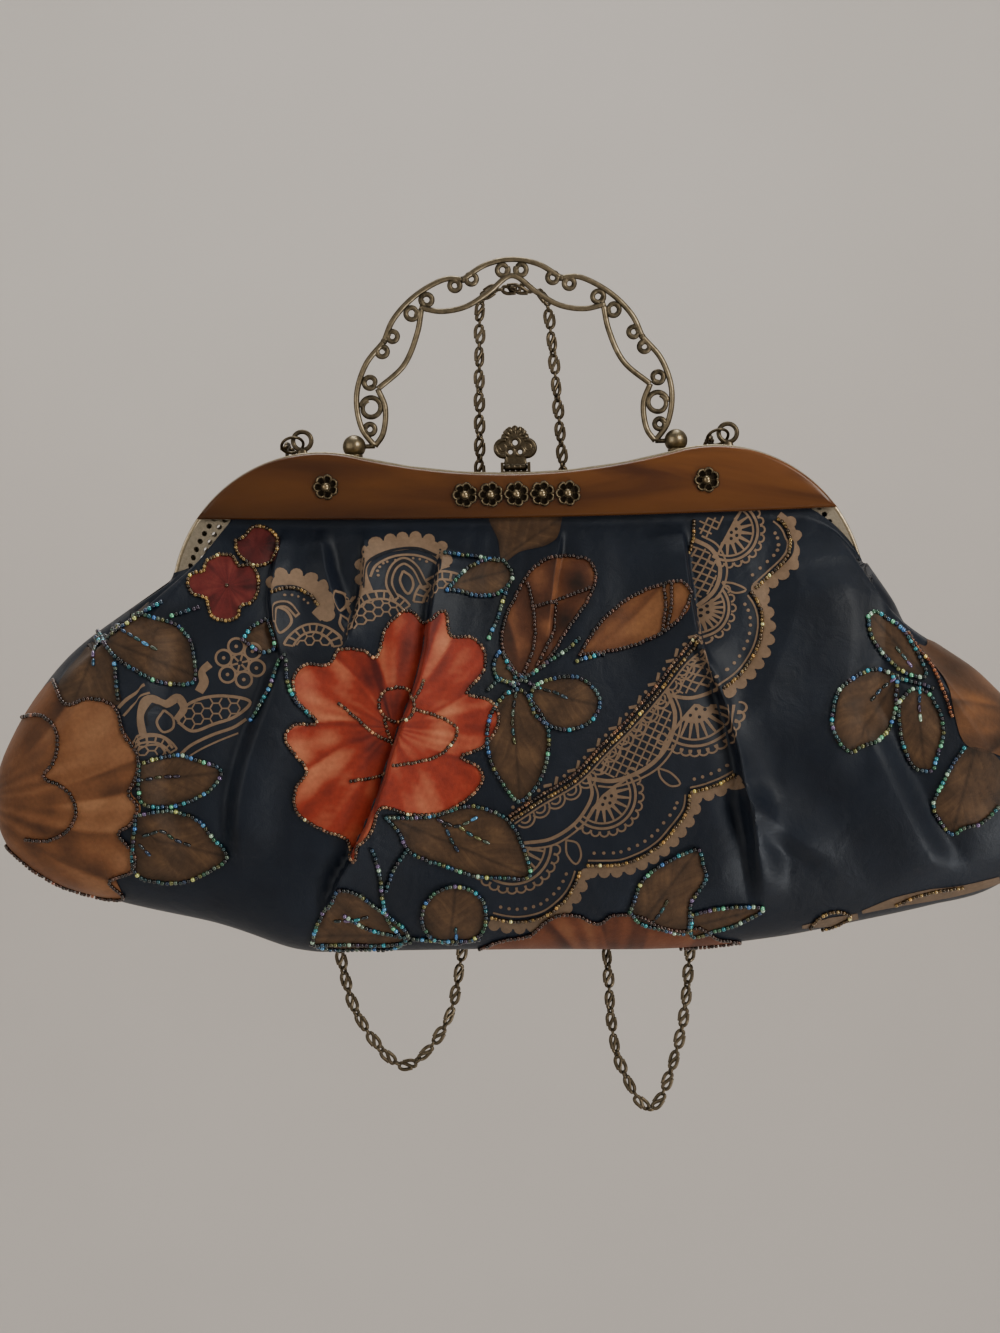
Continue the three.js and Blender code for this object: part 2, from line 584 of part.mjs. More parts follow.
// Where fan line u meets the seam, on a smooth curve through the rows of SEAM
const seamEdge = (u) => {
  const k = Math.min(Math.max(SEAM.findIndex((row) => row.u >= u), 1), SEAM.length - 1);
  const rows = [k - 2, k - 1, k, k + 1].map((n) => SEAM[Math.min(Math.max(n, 0), SEAM.length - 1)]);
  const [before, from, to, after] = rows;
  const span = to.u - from.u;
  const t = (u - from.u) / span;
  const hermite = (axis) => {
    const startSlope = (to[axis] - before[axis]) / (to.u - before.u);
    const endSlope = (after[axis] - from[axis]) / (after.u - from.u);
    return (2 * t ** 3 - 3 * t ** 2 + 1) * from[axis]
      + (t ** 3 - 2 * t ** 2 + t) * span * startSlope
      + (3 * t ** 2 - 2 * t ** 3) * to[axis]
      + (t ** 3 - t ** 2) * span * endSlope;
  };
  return new THREE.Vector2(hermite("x"), hermite("z"));
};

// Height of the folds at fan line u and fraction a of the way to the seam
const foldHeight = (folds, u, a) => folds.reduce((sum, row) => {
  const across = (u - row.u) * row.steepSide;
  let profile = 0;
  if (across <= 0 && across > -row.spread) {
    profile = (1 + across / row.spread) ** 2;
  } else if (across > 0 && across <= FOLD_DROP) {
    profile = THREE.MathUtils.lerp(1, FOLD_TROUGH, across / FOLD_DROP);
  } else if (across > FOLD_DROP && across < FOLD_DROP + FOLD_FADE) {
    profile = FOLD_TROUGH * (1 - (across - FOLD_DROP) / FOLD_FADE) ** 2;
  }
  const enter = THREE.MathUtils.smoothstep(a, row.from, row.from + 0.16);
  const leave = 1 - THREE.MathUtils.smoothstep(a, row.to - 0.3, row.to);
  return sum + row.depth * profile * enter * leave;
}, 0);

// A point of the cloth's outer face; side is -1 for the front wall and 1 for the back
const clothPoint = (u, a, side, belly, folds) => {
  const top = frameEdge(u);
  const seam = seamEdge(u);
  const swell = Math.max(0, a - BELLY_START) / (1 - BELLY_START);
  const bulge = (swell ** 0.9 * Math.sqrt(1 - swell)) / BELLY_PEAK;
  const reach = Math.min(1, top.distanceTo(seam) / FAN_FULL_LENGTH);
  const wrap = (1 - a ** 2) ** 0.4;
  const depth = CLOTH_TOP_DEPTH * wrap + reach * (belly * bulge + foldHeight(folds, u, a));
  const place = top.clone().lerp(seam, a);
  return new THREE.Vector3(place.x, side * Math.max(depth, GAP / 2), place.y);
};

// The matching point of the inner face, one wall further in
const liningPoint = (outer, i, j, side) => {
  const here = outer[i][j];
  const lastRow = outer[i].length - 1;
  if (j === 0) {
    return here.clone().add(new THREE.Vector3(0, -side * CLOTH_WALL, 0));
  }
  if (j === lastRow) {
    const inward = outer[i][0].clone().sub(here).setY(0).normalize();
    return here.clone().addScaledVector(inward, CLOTH_WALL);
  }
  const across = outer[Math.min(i + 1, outer.length - 1)][j].clone().sub(outer[Math.max(i - 1, 0)][j]);
  const down = outer[i][j + 1].clone().sub(outer[i][j - 1]);
  const inward = across.cross(down).normalize();
  const inner = here.clone().addScaledVector(inward, -side * CLOTH_WALL);
  inner.y = side * Math.max(side * inner.y, GAP / 2);
  return inner;
};

// A closed shell from the outer and inner faces, sewn round all four edges
const shell = (outer, inner) => {
  const columns = outer.length;
  const rows = outer[0].length;
  const index = [];
  const at = (face, i, j) => face * columns * rows + i * rows + j;
  const quad = (a, b, c, d) => index.push(a, b, c, a, c, d);
  for (let i = 0; i + 1 < columns; i += 1) {
    for (let j = 0; j + 1 < rows; j += 1) {
      quad(at(0, i, j), at(0, i, j + 1), at(0, i + 1, j + 1), at(0, i + 1, j));
      quad(at(1, i, j), at(1, i + 1, j), at(1, i + 1, j + 1), at(1, i, j + 1));
    }
    quad(at(0, i, 0), at(0, i + 1, 0), at(1, i + 1, 0), at(1, i, 0));
    quad(at(0, i, rows - 1), at(1, i, rows - 1), at(1, i + 1, rows - 1), at(0, i + 1, rows - 1));
  }
  for (let j = 0; j + 1 < rows; j += 1) {
    quad(at(0, 0, j), at(1, 0, j), at(1, 0, j + 1), at(0, 0, j + 1));
    quad(at(0, columns - 1, j), at(0, columns - 1, j + 1), at(1, columns - 1, j + 1), at(1, columns - 1, j));
  }
  const points = [...outer.flat(), ...inner.flat()];
  const geometry = new THREE.BufferGeometry().setFromPoints(points);
  geometry.setIndex(index);
  return geometry;
};

// A wall's columns are the seam's rows, the lines half-way between them and both edges of each fold's drop
const clothWall = (side, belly, folds, rowCount) => {
  const halfway = SEAM.slice(1).map((row, k) => (row.u + SEAM[k].u) / 2);
  const lines = [...SEAM.map((row) => row.u), ...halfway];
  const foldLines = folds.flatMap(({ u, steepSide }) => [u, u + steepSide * FOLD_DROP]);
  const clear = lines.filter((u) => foldLines.every((line) => Math.abs(line - u) > COLUMN_CLEARANCE));
  const columns = [...clear, ...foldLines].sort((a, b) => a - b);
  const rows = Array.from({ length: rowCount }, (_, k) => {
    const t = k / (rowCount - 1);
    return k === 1 ? BELLY_START : 1 - (1 - t) ** 1.7;
  });
  const outer = columns.map((u) => rows.map((a) => clothPoint(u, a, side, belly, folds)));
  const inner = outer.map((line, i) => line.map((_, j) => liningPoint(outer, i, j, side)));
  const geometry = shell(outer, inner);
  if (side > 0) {
    const flipped = Array.from(geometry.index.array).reverse();
    geometry.setIndex(flipped);
  }
  geometry.computeVertexNormals();
  return geometry;
};

addToBag("cloth_front", clothWall(-1, FRONT_BELLY, FRONT_FOLDS, FRONT_ROWS), satin);
addToBag("cloth_back", clothWall(1, BACK_BELLY, BACK_FOLDS, BACK_ROWS), satin);

export default part;
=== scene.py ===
"""Beaded evening clutch, hanging by its scroll handle with its long chain doubled behind it."""

import math

import bmesh
import bpy
import numpy as np
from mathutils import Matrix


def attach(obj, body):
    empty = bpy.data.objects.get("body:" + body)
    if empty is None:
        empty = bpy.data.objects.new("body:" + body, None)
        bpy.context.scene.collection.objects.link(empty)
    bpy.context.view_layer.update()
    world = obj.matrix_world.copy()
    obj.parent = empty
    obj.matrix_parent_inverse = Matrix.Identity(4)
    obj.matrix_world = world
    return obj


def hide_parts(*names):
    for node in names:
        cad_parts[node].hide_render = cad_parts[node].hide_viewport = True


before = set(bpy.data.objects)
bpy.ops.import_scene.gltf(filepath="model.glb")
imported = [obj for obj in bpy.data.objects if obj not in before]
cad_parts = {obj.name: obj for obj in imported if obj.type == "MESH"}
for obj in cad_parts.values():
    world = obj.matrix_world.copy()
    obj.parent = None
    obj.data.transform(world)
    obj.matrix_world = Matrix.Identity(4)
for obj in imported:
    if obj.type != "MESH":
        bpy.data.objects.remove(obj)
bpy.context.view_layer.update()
scene = bpy.context.scene

# Studio: a pale floor that curves up into a wall all round, soft lamps and the camera.
# Nothing here belongs to the bag. Sizes of meshes are in millimetres, as in the bag's own drawing.
MM = 0.001
FLOOR_Z = -1000.0
FLOOR_RADIUS = 1300.0
COVE_RADIUS = 700.0
WALL_TOP = 1900.0


def quads(rows, columns, wrap_rows=False, wrap_columns=False):
    """Four-cornered faces of a grid of points, row by row, joined end to end where an axis wraps."""
    i = np.arange(rows if wrap_rows else rows - 1)[:, None]
    j = np.arange(columns if wrap_columns else columns - 1)[None, :]
    below, after = (i + 1) % rows, (j + 1) % columns
    corners = (i * columns + j, i * columns + after, below * columns + after, below * columns + j)
    return np.stack([np.broadcast_to(c, (i.size, j.size)) for c in corners], axis=-1).reshape(-1, 4)


def add_mesh(name, parts, material, toward=None, attributes=None, smooth=True):
    """One mesh from parts, each an array of points in millimetres and its faces. Coinciding points are
    welded. Faces turn outwards by the sign of the enclosed volume, or towards a direction where the surface
    is open."""
    starts = np.cumsum([0] + [points.reshape(-1, 3).shape[0] for points, _ in parts])
    points = np.concatenate([points.reshape(-1, 3) for points, _ in parts])
    faces = np.concatenate([corners + start for (_, corners), start in zip(parts, starts)])
    a, b, c, d = (points[faces[:, k]] for k in range(4))
    area = np.cross(c - a, d - b)
    facing = np.sum((a + b + c + d) * area) if toward is None else np.sum(area @ np.asarray(toward, float))
    if facing < 0:
        faces = faces[:, ::-1]
    mesh = bpy.data.meshes.new(name)
    mesh.vertices.add(len(points))
    mesh.vertices.foreach_set("co", (points * MM).ravel())
    mesh.loops.add(faces.size)
    mesh.loops.foreach_set("vertex_index", faces.ravel().astype(np.int32))
    mesh.polygons.add(len(faces))
    mesh.polygons.foreach_set("loop_start", np.arange(0, faces.size, 4, dtype=np.int32))
    mesh.polygons.foreach_set("use_smooth", np.full(len(faces), smooth))
    mesh.update(calc_edges=True)
    for key, values in (attributes or {}).items():
        kind, field = ("FLOAT", "value") if values.ndim == 1 else ("FLOAT_COLOR", "color")
        mesh.attributes.new(key, kind, "POINT").data.foreach_set(field, values.ravel())
    welded = bmesh.new()
    welded.from_mesh(mesh)
    bmesh.ops.remove_doubles(welded, verts=welded.verts, dist=1e-7)
    welded.to_mesh(mesh)
    welded.free()
    mesh.materials.append(material)
    obj = bpy.data.objects.new(name, mesh)
    scene.collection.objects.link(obj)
    return obj


def new_material(name):
    """A material with its node tree and its Principled shader to hand."""
    material = bpy.data.materials.new(name)
    material.use_nodes = True
    return material, material.node_tree, material.node_tree.nodes["Principled BSDF"]


def put(socket, value):
    """A value, or another node's output, goes into a socket."""
    if isinstance(value, bpy.types.NodeSocket):
        socket.id_data.links.new(value, socket)
    else:
        socket.default_value = value


def fill_inputs(node, **inputs):
    """What goes into a node's inputs, each named by its label with _ for a space."""
    for label, value in inputs.items():
        put(node.inputs[label.replace("_", " ")], value)


def add_node(tree, kind, **settings):
    """A node of the given kind; settings name its own properties, or its inputs as in fill_inputs."""
    node = tree.nodes.new(kind)
    for key, value in settings.items():
        if hasattr(node, key):
            setattr(node, key, value)
        else:
            fill_inputs(node, **{key: value})
    return node


def object_place(tree):
    """Places in the object's own space."""
    return add_node(tree, "ShaderNodeTexCoord").outputs["Object"]


def noise(tree, place, **settings):
    """Smooth noise over places."""
    return add_node(tree, "ShaderNodeTexNoise", Vector=place, **settings).outputs["Fac"]


MIX_INPUTS, MIX_RESULT = (0, 6, 7), 2  # sockets of a colour mix: its share and two colours, and what it gives


def mix_colours(tree, share, first, second):
    """A colour that goes from the first to the second as the share goes from 0 to 1."""
    node = add_node(tree, "ShaderNodeMix", data_type="RGBA")
    for k, value in zip(MIX_INPUTS, (share, first, second)):
        put(node.inputs[k], value)
    return node.outputs[MIX_RESULT]


def full_turn(count):
    """Equal steps of angle once round."""
    return np.linspace(0, 2 * np.pi, count, endpoint=False)


def on_circle(x, y, radius, turn):
    """Points at angles round a circle, or one point at one angle."""
    return np.stack([x + radius * np.cos(turn), y + radius * np.sin(turn)], axis=-1)


def lathe(profile, sides, x=0.0, y=0.0):
    """Points and faces of a profile of radius and height turned about an upright axis through x and y."""
    profile = np.asarray(profile, float)
    points = np.zeros((len(profile), sides, 3))
    points[..., :2] = profile[:, None, :1] * on_circle(0, 0, 1, full_turn(sides)) + (x, y)
    points[..., 2] = profile[:, None, 1]
    return points, quads(len(profile), sides, wrap_columns=True)


paper, tree, shader = new_material("studio_paper")
mottle = noise(tree, object_place(tree), Scale=3.0, Detail=3.0)
tone = mix_colours(tree, mottle, (0.64, 0.61, 0.575, 1), (0.70, 0.67, 0.635, 1))
fill_inputs(shader, Base_Color=tone, Roughness=0.9)

bend = np.linspace(0, np.pi / 2, 14)
cove = [(0, FLOOR_Z), (FLOOR_RADIUS / 2, FLOOR_Z)]
cove += [(FLOOR_RADIUS + COVE_RADIUS * math.sin(b), FLOOR_Z + COVE_RADIUS * (1 - math.cos(b))) for b in bend]
cove += [(FLOOR_RADIUS + COVE_RADIUS, WALL_TOP)]
add_mesh("studio_floor", [lathe(cove, 64)], paper, toward=(0, 0, 1))

MIDDLE = (0.0, 0.0, -0.12)
LAMPS = [
    {"lamp": "key", "at": (0.75, -0.95, 0.45), "size": 0.5, "watts": 7.0, "colour": (1.0, 0.91, 0.80)},
    {"lamp": "fill", "at": (-0.95, -0.85, 0.1), "size": 0.9, "watts": 2.7, "colour": (1.0, 0.93, 0.85)},
    {"lamp": "low", "at": (0.84, -0.6, -0.73), "size": 0.3, "watts": 4.6, "colour": (1.0, 0.95, 0.9)},
    {"lamp": "top", "at": (0.0, 0.25, 1.1), "size": 0.8, "watts": 11.0, "colour": (1.0, 0.96, 0.92)},
    {"lamp": "wall", "at": (0.0, 0.75, 1.05), "to": (0.0, 2.0, 0.45), "size": 1.0, "watts": 10.6,
     "colour": (1.0, 0.97, 0.94)},
]
for row in LAMPS:
    lamp = bpy.data.lights.new("studio_" + row["lamp"], "AREA")
    lamp.energy = row["watts"]
    lamp.size = row["size"]
    lamp.color = row["colour"]
    holder = bpy.data.objects.new(lamp.name, lamp)
    holder.location = row["at"]
    away = np.subtract(row["at"], row.get("to", MIDDLE))
    holder.rotation_euler = (
        math.atan2(math.hypot(away[0], away[1]), away[2]), 0, math.atan2(away[1], away[0]) + math.pi / 2)
    scene.collection.objects.link(holder)
world = bpy.data.worlds.new("studio_world")
world.use_nodes = True
fill_inputs(world.node_tree.nodes["Background"], Color=(0.80, 0.78, 0.74, 1), Strength=0.30)
scene.world = world

# The picture is 1000 by 1333 points, one point 0.308 mm wide where the two halves of the frame close.
PICTURE = (1000, 1333)
POINT_MM = 0.308
CLOSING_Y = -3.2
CAMERA_DISTANCE = 600.0
CAMERA_AT = np.array([-6.0, CLOSING_Y - CAMERA_DISTANCE, -115.8])
CAMERA_ROLL = math.radians(1.1)
SENSOR = 36.0
view = bpy.data.cameras.new("studio_camera")
view.sensor_width = SENSOR
view.lens = SENSOR * CAMERA_DISTANCE / (PICTURE[1] * POINT_MM)
view.clip_start = 0.02
camera = bpy.data.objects.new("studio_camera", view)
camera.location = CAMERA_AT * MM
camera.rotation_euler = (math.pi / 2, CAMERA_ROLL, 0)
scene.collection.objects.link(camera)
scene.camera = camera

# Metal frame: two stamped halves of pale gold plate with a pierced flange, hinged at their ends.
# The drawn halves stay, with rows of small holes punched in their ends; a rounded beading follows the rim.
BAG = np.array([0.0, CLOSING_Y, -70.8])
HUMP_X, HUMP_TOP, HUMP_RADIUS, SADDLE_TOP = 60.0, 20.6, 45.0, 13.2
HUMP_CENTRE_Z = HUMP_TOP - HUMP_RADIUS
HUMP_RISE = HUMP_TOP - SADDLE_TOP
SADDLE_RADIUS = (HUMP_X**2 + HUMP_RISE**2) / (2 * HUMP_RISE) - HUMP_RADIUS
SADDLE_CENTRE_Z = SADDLE_TOP + SADDLE_RADIUS
ARC_JOINT = math.atan2(SADDLE_CENTRE_Z - HUMP_CENTRE_Z, -HUMP_X)
RIM_OUT, RIM_IN, RIM_FRONT, RIM_BACK = 0.95, -0.5, 6.35, 0.1
PIERCED_EDGE, PIERCED_PITCH, PIERCED_HOLE, PIERCED_FROM = 2.25, 2.7, 0.3, 18.0
PIERCED_START, PIERCED_PHASE = math.radians(32.5), 20.23
HUMP_POINTS, SADDLE_POINTS = 90, 80
RIM_SIDES, RIM_SQUARENESS, FACE_SHEEN_AND_WEAR = 20, 0.4, 0.8


def reckon(tree, operation, first, second=0.0, **settings):
    """What a math node gives; each value is a number or another node's output."""
    node = add_node(tree, "ShaderNodeMath", operation=operation, **settings)
    for socket, value in zip(node.inputs, (first, second)):
        put(socket, value)
    return node.outputs[0]


def hypotenuse(tree, first, second):
    """The square root of the sum of two squares."""
    squares = [reckon(tree, "MULTIPLY", value, value) for value in (first, second)]
    return reckon(tree, "SQRT", reckon(tree, "ADD", *squares))


def spread(tree, value, low, high, start=0.0, end=1.0):
    """A value from start to end, stretched to run from low to high."""
    ends = {"From_Min": start, "From_Max": end, "To_Min": low, "To_Max": high}
    return add_node(tree, "ShaderNodeMapRange", Value=value, **ends).outputs["Result"]


# Painted highlight and shade with uneven wear: metal is mixed towards its bright tone the more squarely it
# faces the front or back, and towards its dark tone where it turns sideways; noise adds real uneven wear.
patina_and_sheen = bpy.data.node_groups.new("patina_and_sheen", "ShaderNodeTree")
for label, kind in (("Dark", "Color"), ("Bright", "Color"), ("Wear", "Float"), ("Scale", "Float")):
    patina_and_sheen.interface.new_socket(label, in_out="INPUT", socket_type="NodeSocket" + kind)
for label, kind in (("Color", "Color"), ("Roughness", "Float"), ("Height", "Float")):
    patina_and_sheen.interface.new_socket(label, in_out="OUTPUT", socket_type="NodeSocket" + kind)
given = patina_and_sheen.nodes.new("NodeGroupInput").outputs
place = add_node(patina_and_sheen, "ShaderNodeTexCoord").outputs
grain = noise(patina_and_sheen, place["Object"], Scale=given["Scale"], Detail=4.0, Roughness=0.6)
facing = add_node(patina_and_sheen, "ShaderNodeSeparateXYZ", Vector=place["Normal"]).outputs["Y"]
worn_and_lit = reckon(patina_and_sheen, "MULTIPLY", reckon(patina_and_sheen, "ABSOLUTE", facing), given["Wear"])
worn_and_lit = reckon(patina_and_sheen, "ADD", worn_and_lit, spread(patina_and_sheen, grain, -0.25, 0.35, 0.3, 0.7), use_clamp=True)
fill_inputs(patina_and_sheen.nodes.new("NodeGroupOutput"), Height=grain, Roughness=spread(patina_and_sheen, worn_and_lit, 0.55, 0.28),
            Color=mix_colours(patina_and_sheen, worn_and_lit, given["Dark"], given["Bright"]))


def metal(name, dark, bright, scale, wear_attribute=None):
    """Antiqued metal: a painted highlight where it faces the front or back, painted shade where it turns
    sideways, and fine uneven wear from noise.
    """
    material, tree, shader = new_material(name)
    wear = FACE_SHEEN_AND_WEAR
    if wear_attribute:
        wear = add_node(tree, "ShaderNodeAttribute", attribute_name=wear_attribute).outputs["Fac"]
    group = add_node(tree, "ShaderNodeGroup", node_tree=patina_and_sheen, Dark=(*dark, 1), Bright=(*bright, 1),
                     Wear=wear, Scale=scale).outputs
    bump = add_node(tree, "ShaderNodeBump", Height=group["Height"], Strength=0.15, Distance=0.0002)
    fill_inputs(shader, Base_Color=group["Color"], Roughness=group["Roughness"], Metallic=1.0,
                Normal=bump.outputs["Normal"])
    return material


pale_gold = metal("pale_gold_plate", (0.20, 0.155, 0.09), (0.52, 0.45, 0.32), 900.0)
pierced_gold = metal("pale_gold_pierced", (0.16, 0.14, 0.10), (0.50, 0.46, 0.37), 900.0)
tree = pierced_gold.node_tree
axes = add_node(tree, "ShaderNodeSeparateXYZ", Vector=object_place(tree)).outputs
aside = reckon(tree, "SUBTRACT", reckon(tree, "ABSOLUTE", axes["X"]), HUMP_X * MM)
above = reckon(tree, "SUBTRACT", axes["Z"], (BAG[2] + HUMP_CENTRE_Z) * MM)
reach = hypotenuse(tree, aside, above)
inward = reckon(tree, "SUBTRACT", (HUMP_RADIUS - PIERCED_EDGE) * MM, reach)
inward = reckon(tree, "DIVIDE", inward, PIERCED_PITCH * MM)
back_half = reckon(tree, "GREATER_THAN", axes["Y"], CLOSING_Y * MM)
stagger = reckon(tree, "MULTIPLY", 0.5, reckon(tree, "ADD", reckon(tree, "FLOOR", inward), back_half))
angle = reckon(tree, "SUBTRACT", PIERCED_START, reckon(tree, "ARCTAN2", above, aside))
along = reckon(tree, "DIVIDE", reckon(tree, "MULTIPLY", angle, reach), PIERCED_PITCH * MM)
along = reckon(tree, "ADD", reckon(tree, "ADD", along, stagger), PIERCED_PHASE)
from_middle = [reckon(tree, "SUBTRACT", reckon(tree, "FRACT", value), 0.5) for value in (inward, along)]
gap = hypotenuse(tree, *from_middle)
solid = reckon(tree, "GREATER_THAN", gap, PIERCED_HOLE)
solid = reckon(tree, "MAXIMUM", solid, reckon(tree, "LESS_THAN", inward, 0.0))
solid = reckon(tree, "MAXIMUM", solid, reckon(tree, "LESS_THAN", aside, PIERCED_FROM * MM))
fill_inputs(tree.nodes["Principled BSDF"], Alpha=solid)
for node in ("frame_front", "frame_back"):
    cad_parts[node].material_slots[0].material = pierced_gold
for node in ("hinge_left", "hinge_right"):
    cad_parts[node].material_slots[0].material = pale_gold


def upright(plane, y=0.0):
    """Points of x and z set up in space at a depth."""
    return np.stack([plane[..., 0], np.full(plane.shape[:-1], y), plane[..., 1]], axis=-1)


def frame_curve(offset, end_angle):
    """The frame's outline at an offset from the panels' edge: an arc over each hump and one through the
    saddle."""
    hump, saddle = HUMP_RADIUS + offset, SADDLE_RADIUS - offset
    sweep = np.linspace(ARC_JOINT, end_angle, HUMP_POINTS)
    right = on_circle(HUMP_X, HUMP_CENTRE_Z, hump, sweep)
    dip = np.linspace(-ARC_JOINT, ARC_JOINT - np.pi, SADDLE_POINTS)
    middle = on_circle(0, SADDLE_CENTRE_Z, saddle, dip)
    return np.concatenate([right[::-1] * (-1, 1), middle[1:-1], right])


def rim(side):
    """A rounded rectangle of offset and depth carried along the frame's outline, closed at both ends."""
    square = on_circle(0, 0, 1, full_turn(RIM_SIDES))
    square = np.sign(square) * np.abs(square) ** RIM_SQUARENESS
    offsets = (RIM_OUT + RIM_IN) / 2 + (RIM_OUT - RIM_IN) / 2 * square[:, 0]
    depths = (RIM_FRONT + RIM_BACK) / 2 + (RIM_FRONT - RIM_BACK) / 2 * square[:, 1]
    lines = np.stack([frame_curve(offset, 0.0) for offset in offsets], axis=1)
    points = upright(lines, side * depths)
    ends = [points[k].mean(axis=0)[None, None].repeat(RIM_SIDES, axis=1) for k in (0, -1)]
    points = np.concatenate([ends[0], points, ends[1]]) + BAG
    return points, quads(len(points), RIM_SIDES, wrap_columns=True)


rims = add_mesh("frame_rims", [rim(-1), rim(1)], pale_gold)
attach(rims, "bag")

# Resin panels: one cast plate of streaked amber resin on each half, crowned and rounded at its edges.
# They sit against the flange inside the gold rim; the front one carries the rosettes.
PANEL_TIP_Z = 1.4
PANEL_NEAR, PANEL_FACE = 8.1, 10.9
PANEL_ROUNDING, PANEL_CROWN = 1.2, 0.25
PANEL_TIP_X = HUMP_X + math.sqrt(HUMP_RADIUS**2 - (PANEL_TIP_Z - HUMP_CENTRE_Z) ** 2)
PANEL_JOINT_X = HUMP_X * SADDLE_RADIUS / (SADDLE_RADIUS + HUMP_RADIUS)
AMBER_STOPS = [(0.30, (0.050, 0.018, 0.0085)), (0.72, (0.150, 0.058, 0.016)), (0.5, (0.104, 0.039, 0.0125))]


def panel(side):
    """For each place along the panel, a closed section: flat back, rounded lower and upper edges, crowned
    face. The upper edge follows the frame's arcs, the lower edge is a shallow parabola through both tips."""
    x = PANEL_TIP_X * np.sin(np.linspace(-np.pi / 2, np.pi / 2, 260))
    on_hump = HUMP_CENTRE_Z + np.sqrt(np.maximum(HUMP_RADIUS**2 - (np.abs(x) - HUMP_X) ** 2, 0))
    on_saddle = SADDLE_CENTRE_Z - np.sqrt(SADDLE_RADIUS**2 - x**2)
    upper = np.where(np.abs(x) < PANEL_JOINT_X, on_saddle, on_hump)
    lower = np.minimum(PANEL_TIP_Z * (x / PANEL_TIP_X) ** 2, upper)
    r = np.minimum(PANEL_ROUNDING, (upper - lower) / 2.1)[:, None]
    low, high = lower[:, None], upper[:, None]
    turn = np.linspace(0, np.pi / 2, 7)[None]
    across = np.linspace(0, 1, 13)[None, 1:-1]
    z = np.concatenate([
        low, low + r - r * np.cos(turn), low + r + (high - low - 2 * r) * across,
        high - r + r * np.cos(turn[:, ::-1]), high], axis=1)
    round_y = PANEL_FACE - r + r * np.sin(turn)
    back = np.full_like(low, PANEL_NEAR)
    face = PANEL_FACE + PANEL_CROWN * 4 * across * (1 - across) * np.minimum(1, (high - low) / 10)
    y = np.concatenate([back, round_y, face, round_y[:, ::-1], back], axis=1)
    points = np.stack([np.broadcast_to(x[:, None], z.shape), side * y, z], axis=-1) + BAG
    return points, quads(*z.shape, wrap_columns=True)


def colour_ramp(tree, value, stops):
    """A colour read off a ramp, whose stops are each a position and a colour."""
    node = add_node(tree, "ShaderNodeValToRGB", Fac=value)
    elements = node.color_ramp.elements
    for k, (position, colour) in enumerate(stops):
        stop = elements[k] if k < 2 else elements.new(position)
        stop.position, stop.color = position, (*colour, 1)
    return node.outputs["Color"]


def scaled(tree, colour, share):
    """A colour made lighter or darker by a share."""
    node = add_node(tree, "ShaderNodeVectorMath", operation="SCALE", Vector=colour, Scale=share)
    return node.outputs["Vector"]


amber, tree, shader = new_material("amber_resin_cast")
place = object_place(tree)
stretch = add_node(tree, "ShaderNodeMapping", Vector=place, Scale=(7, 30, 34))
streak = noise(tree, stretch.outputs["Vector"], Scale=1.6, Detail=5.0, Distortion=1.2)
resin = colour_ramp(tree, streak, AMBER_STOPS)
axes = add_node(tree, "ShaderNodeSeparateXYZ", Vector=place).outputs
# Painted light and shade: the resin is made lighter towards the right and the top, darker towards the left
# and the lower edge.
across = spread(tree, axes["X"], 0.66, 1.42, -PANEL_TIP_X * MM, PANEL_TIP_X * MM)
painted_bottom_shade = spread(tree, axes["Z"], 0.72, 1.1, BAG[2] * MM, (BAG[2] + SADDLE_TOP) * MM)
resin = scaled(tree, resin, reckon(tree, "MULTIPLY", across, painted_bottom_shade))
fill_inputs(shader, Base_Color=resin, Roughness=0.22, Specular_IOR_Level=0.3,
            Coat_Weight=0.12, Coat_Roughness=0.08)
for name, side in (("panel_front", -1), ("panel_back", 1)):
    piece = add_mesh(name + "_cast", [panel(side)], amber)
    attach(piece, "bag")
    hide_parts(name)

# Rosettes: seven small cast flowers pinned to the front panel, five in a row and one on each hump.
# Each has seven petals with a raised rim round a hollow, and a smooth dome in the middle.
ROSETTE_RADIUS, ROSETTE_PETALS, ROSETTE_DOME = 3.95, 7, 1.35
ROSETTE_BACK = -11.2
ROW_PITCH, ROW_Z, HUMP_ROSETTE_X, HUMP_ROSETTE_Z = 7.8, 7.0, 57.6, 10.2
ROSETTES = {"rosette_left": (-HUMP_ROSETTE_X, HUMP_ROSETTE_Z)}
for k in range(5):
    ROSETTES[f"rosette_row_{k + 1}"] = (ROW_PITCH * (k - 2), ROW_Z)
ROSETTES["rosette_right"] = (HUMP_ROSETTE_X, HUMP_ROSETTE_Z)


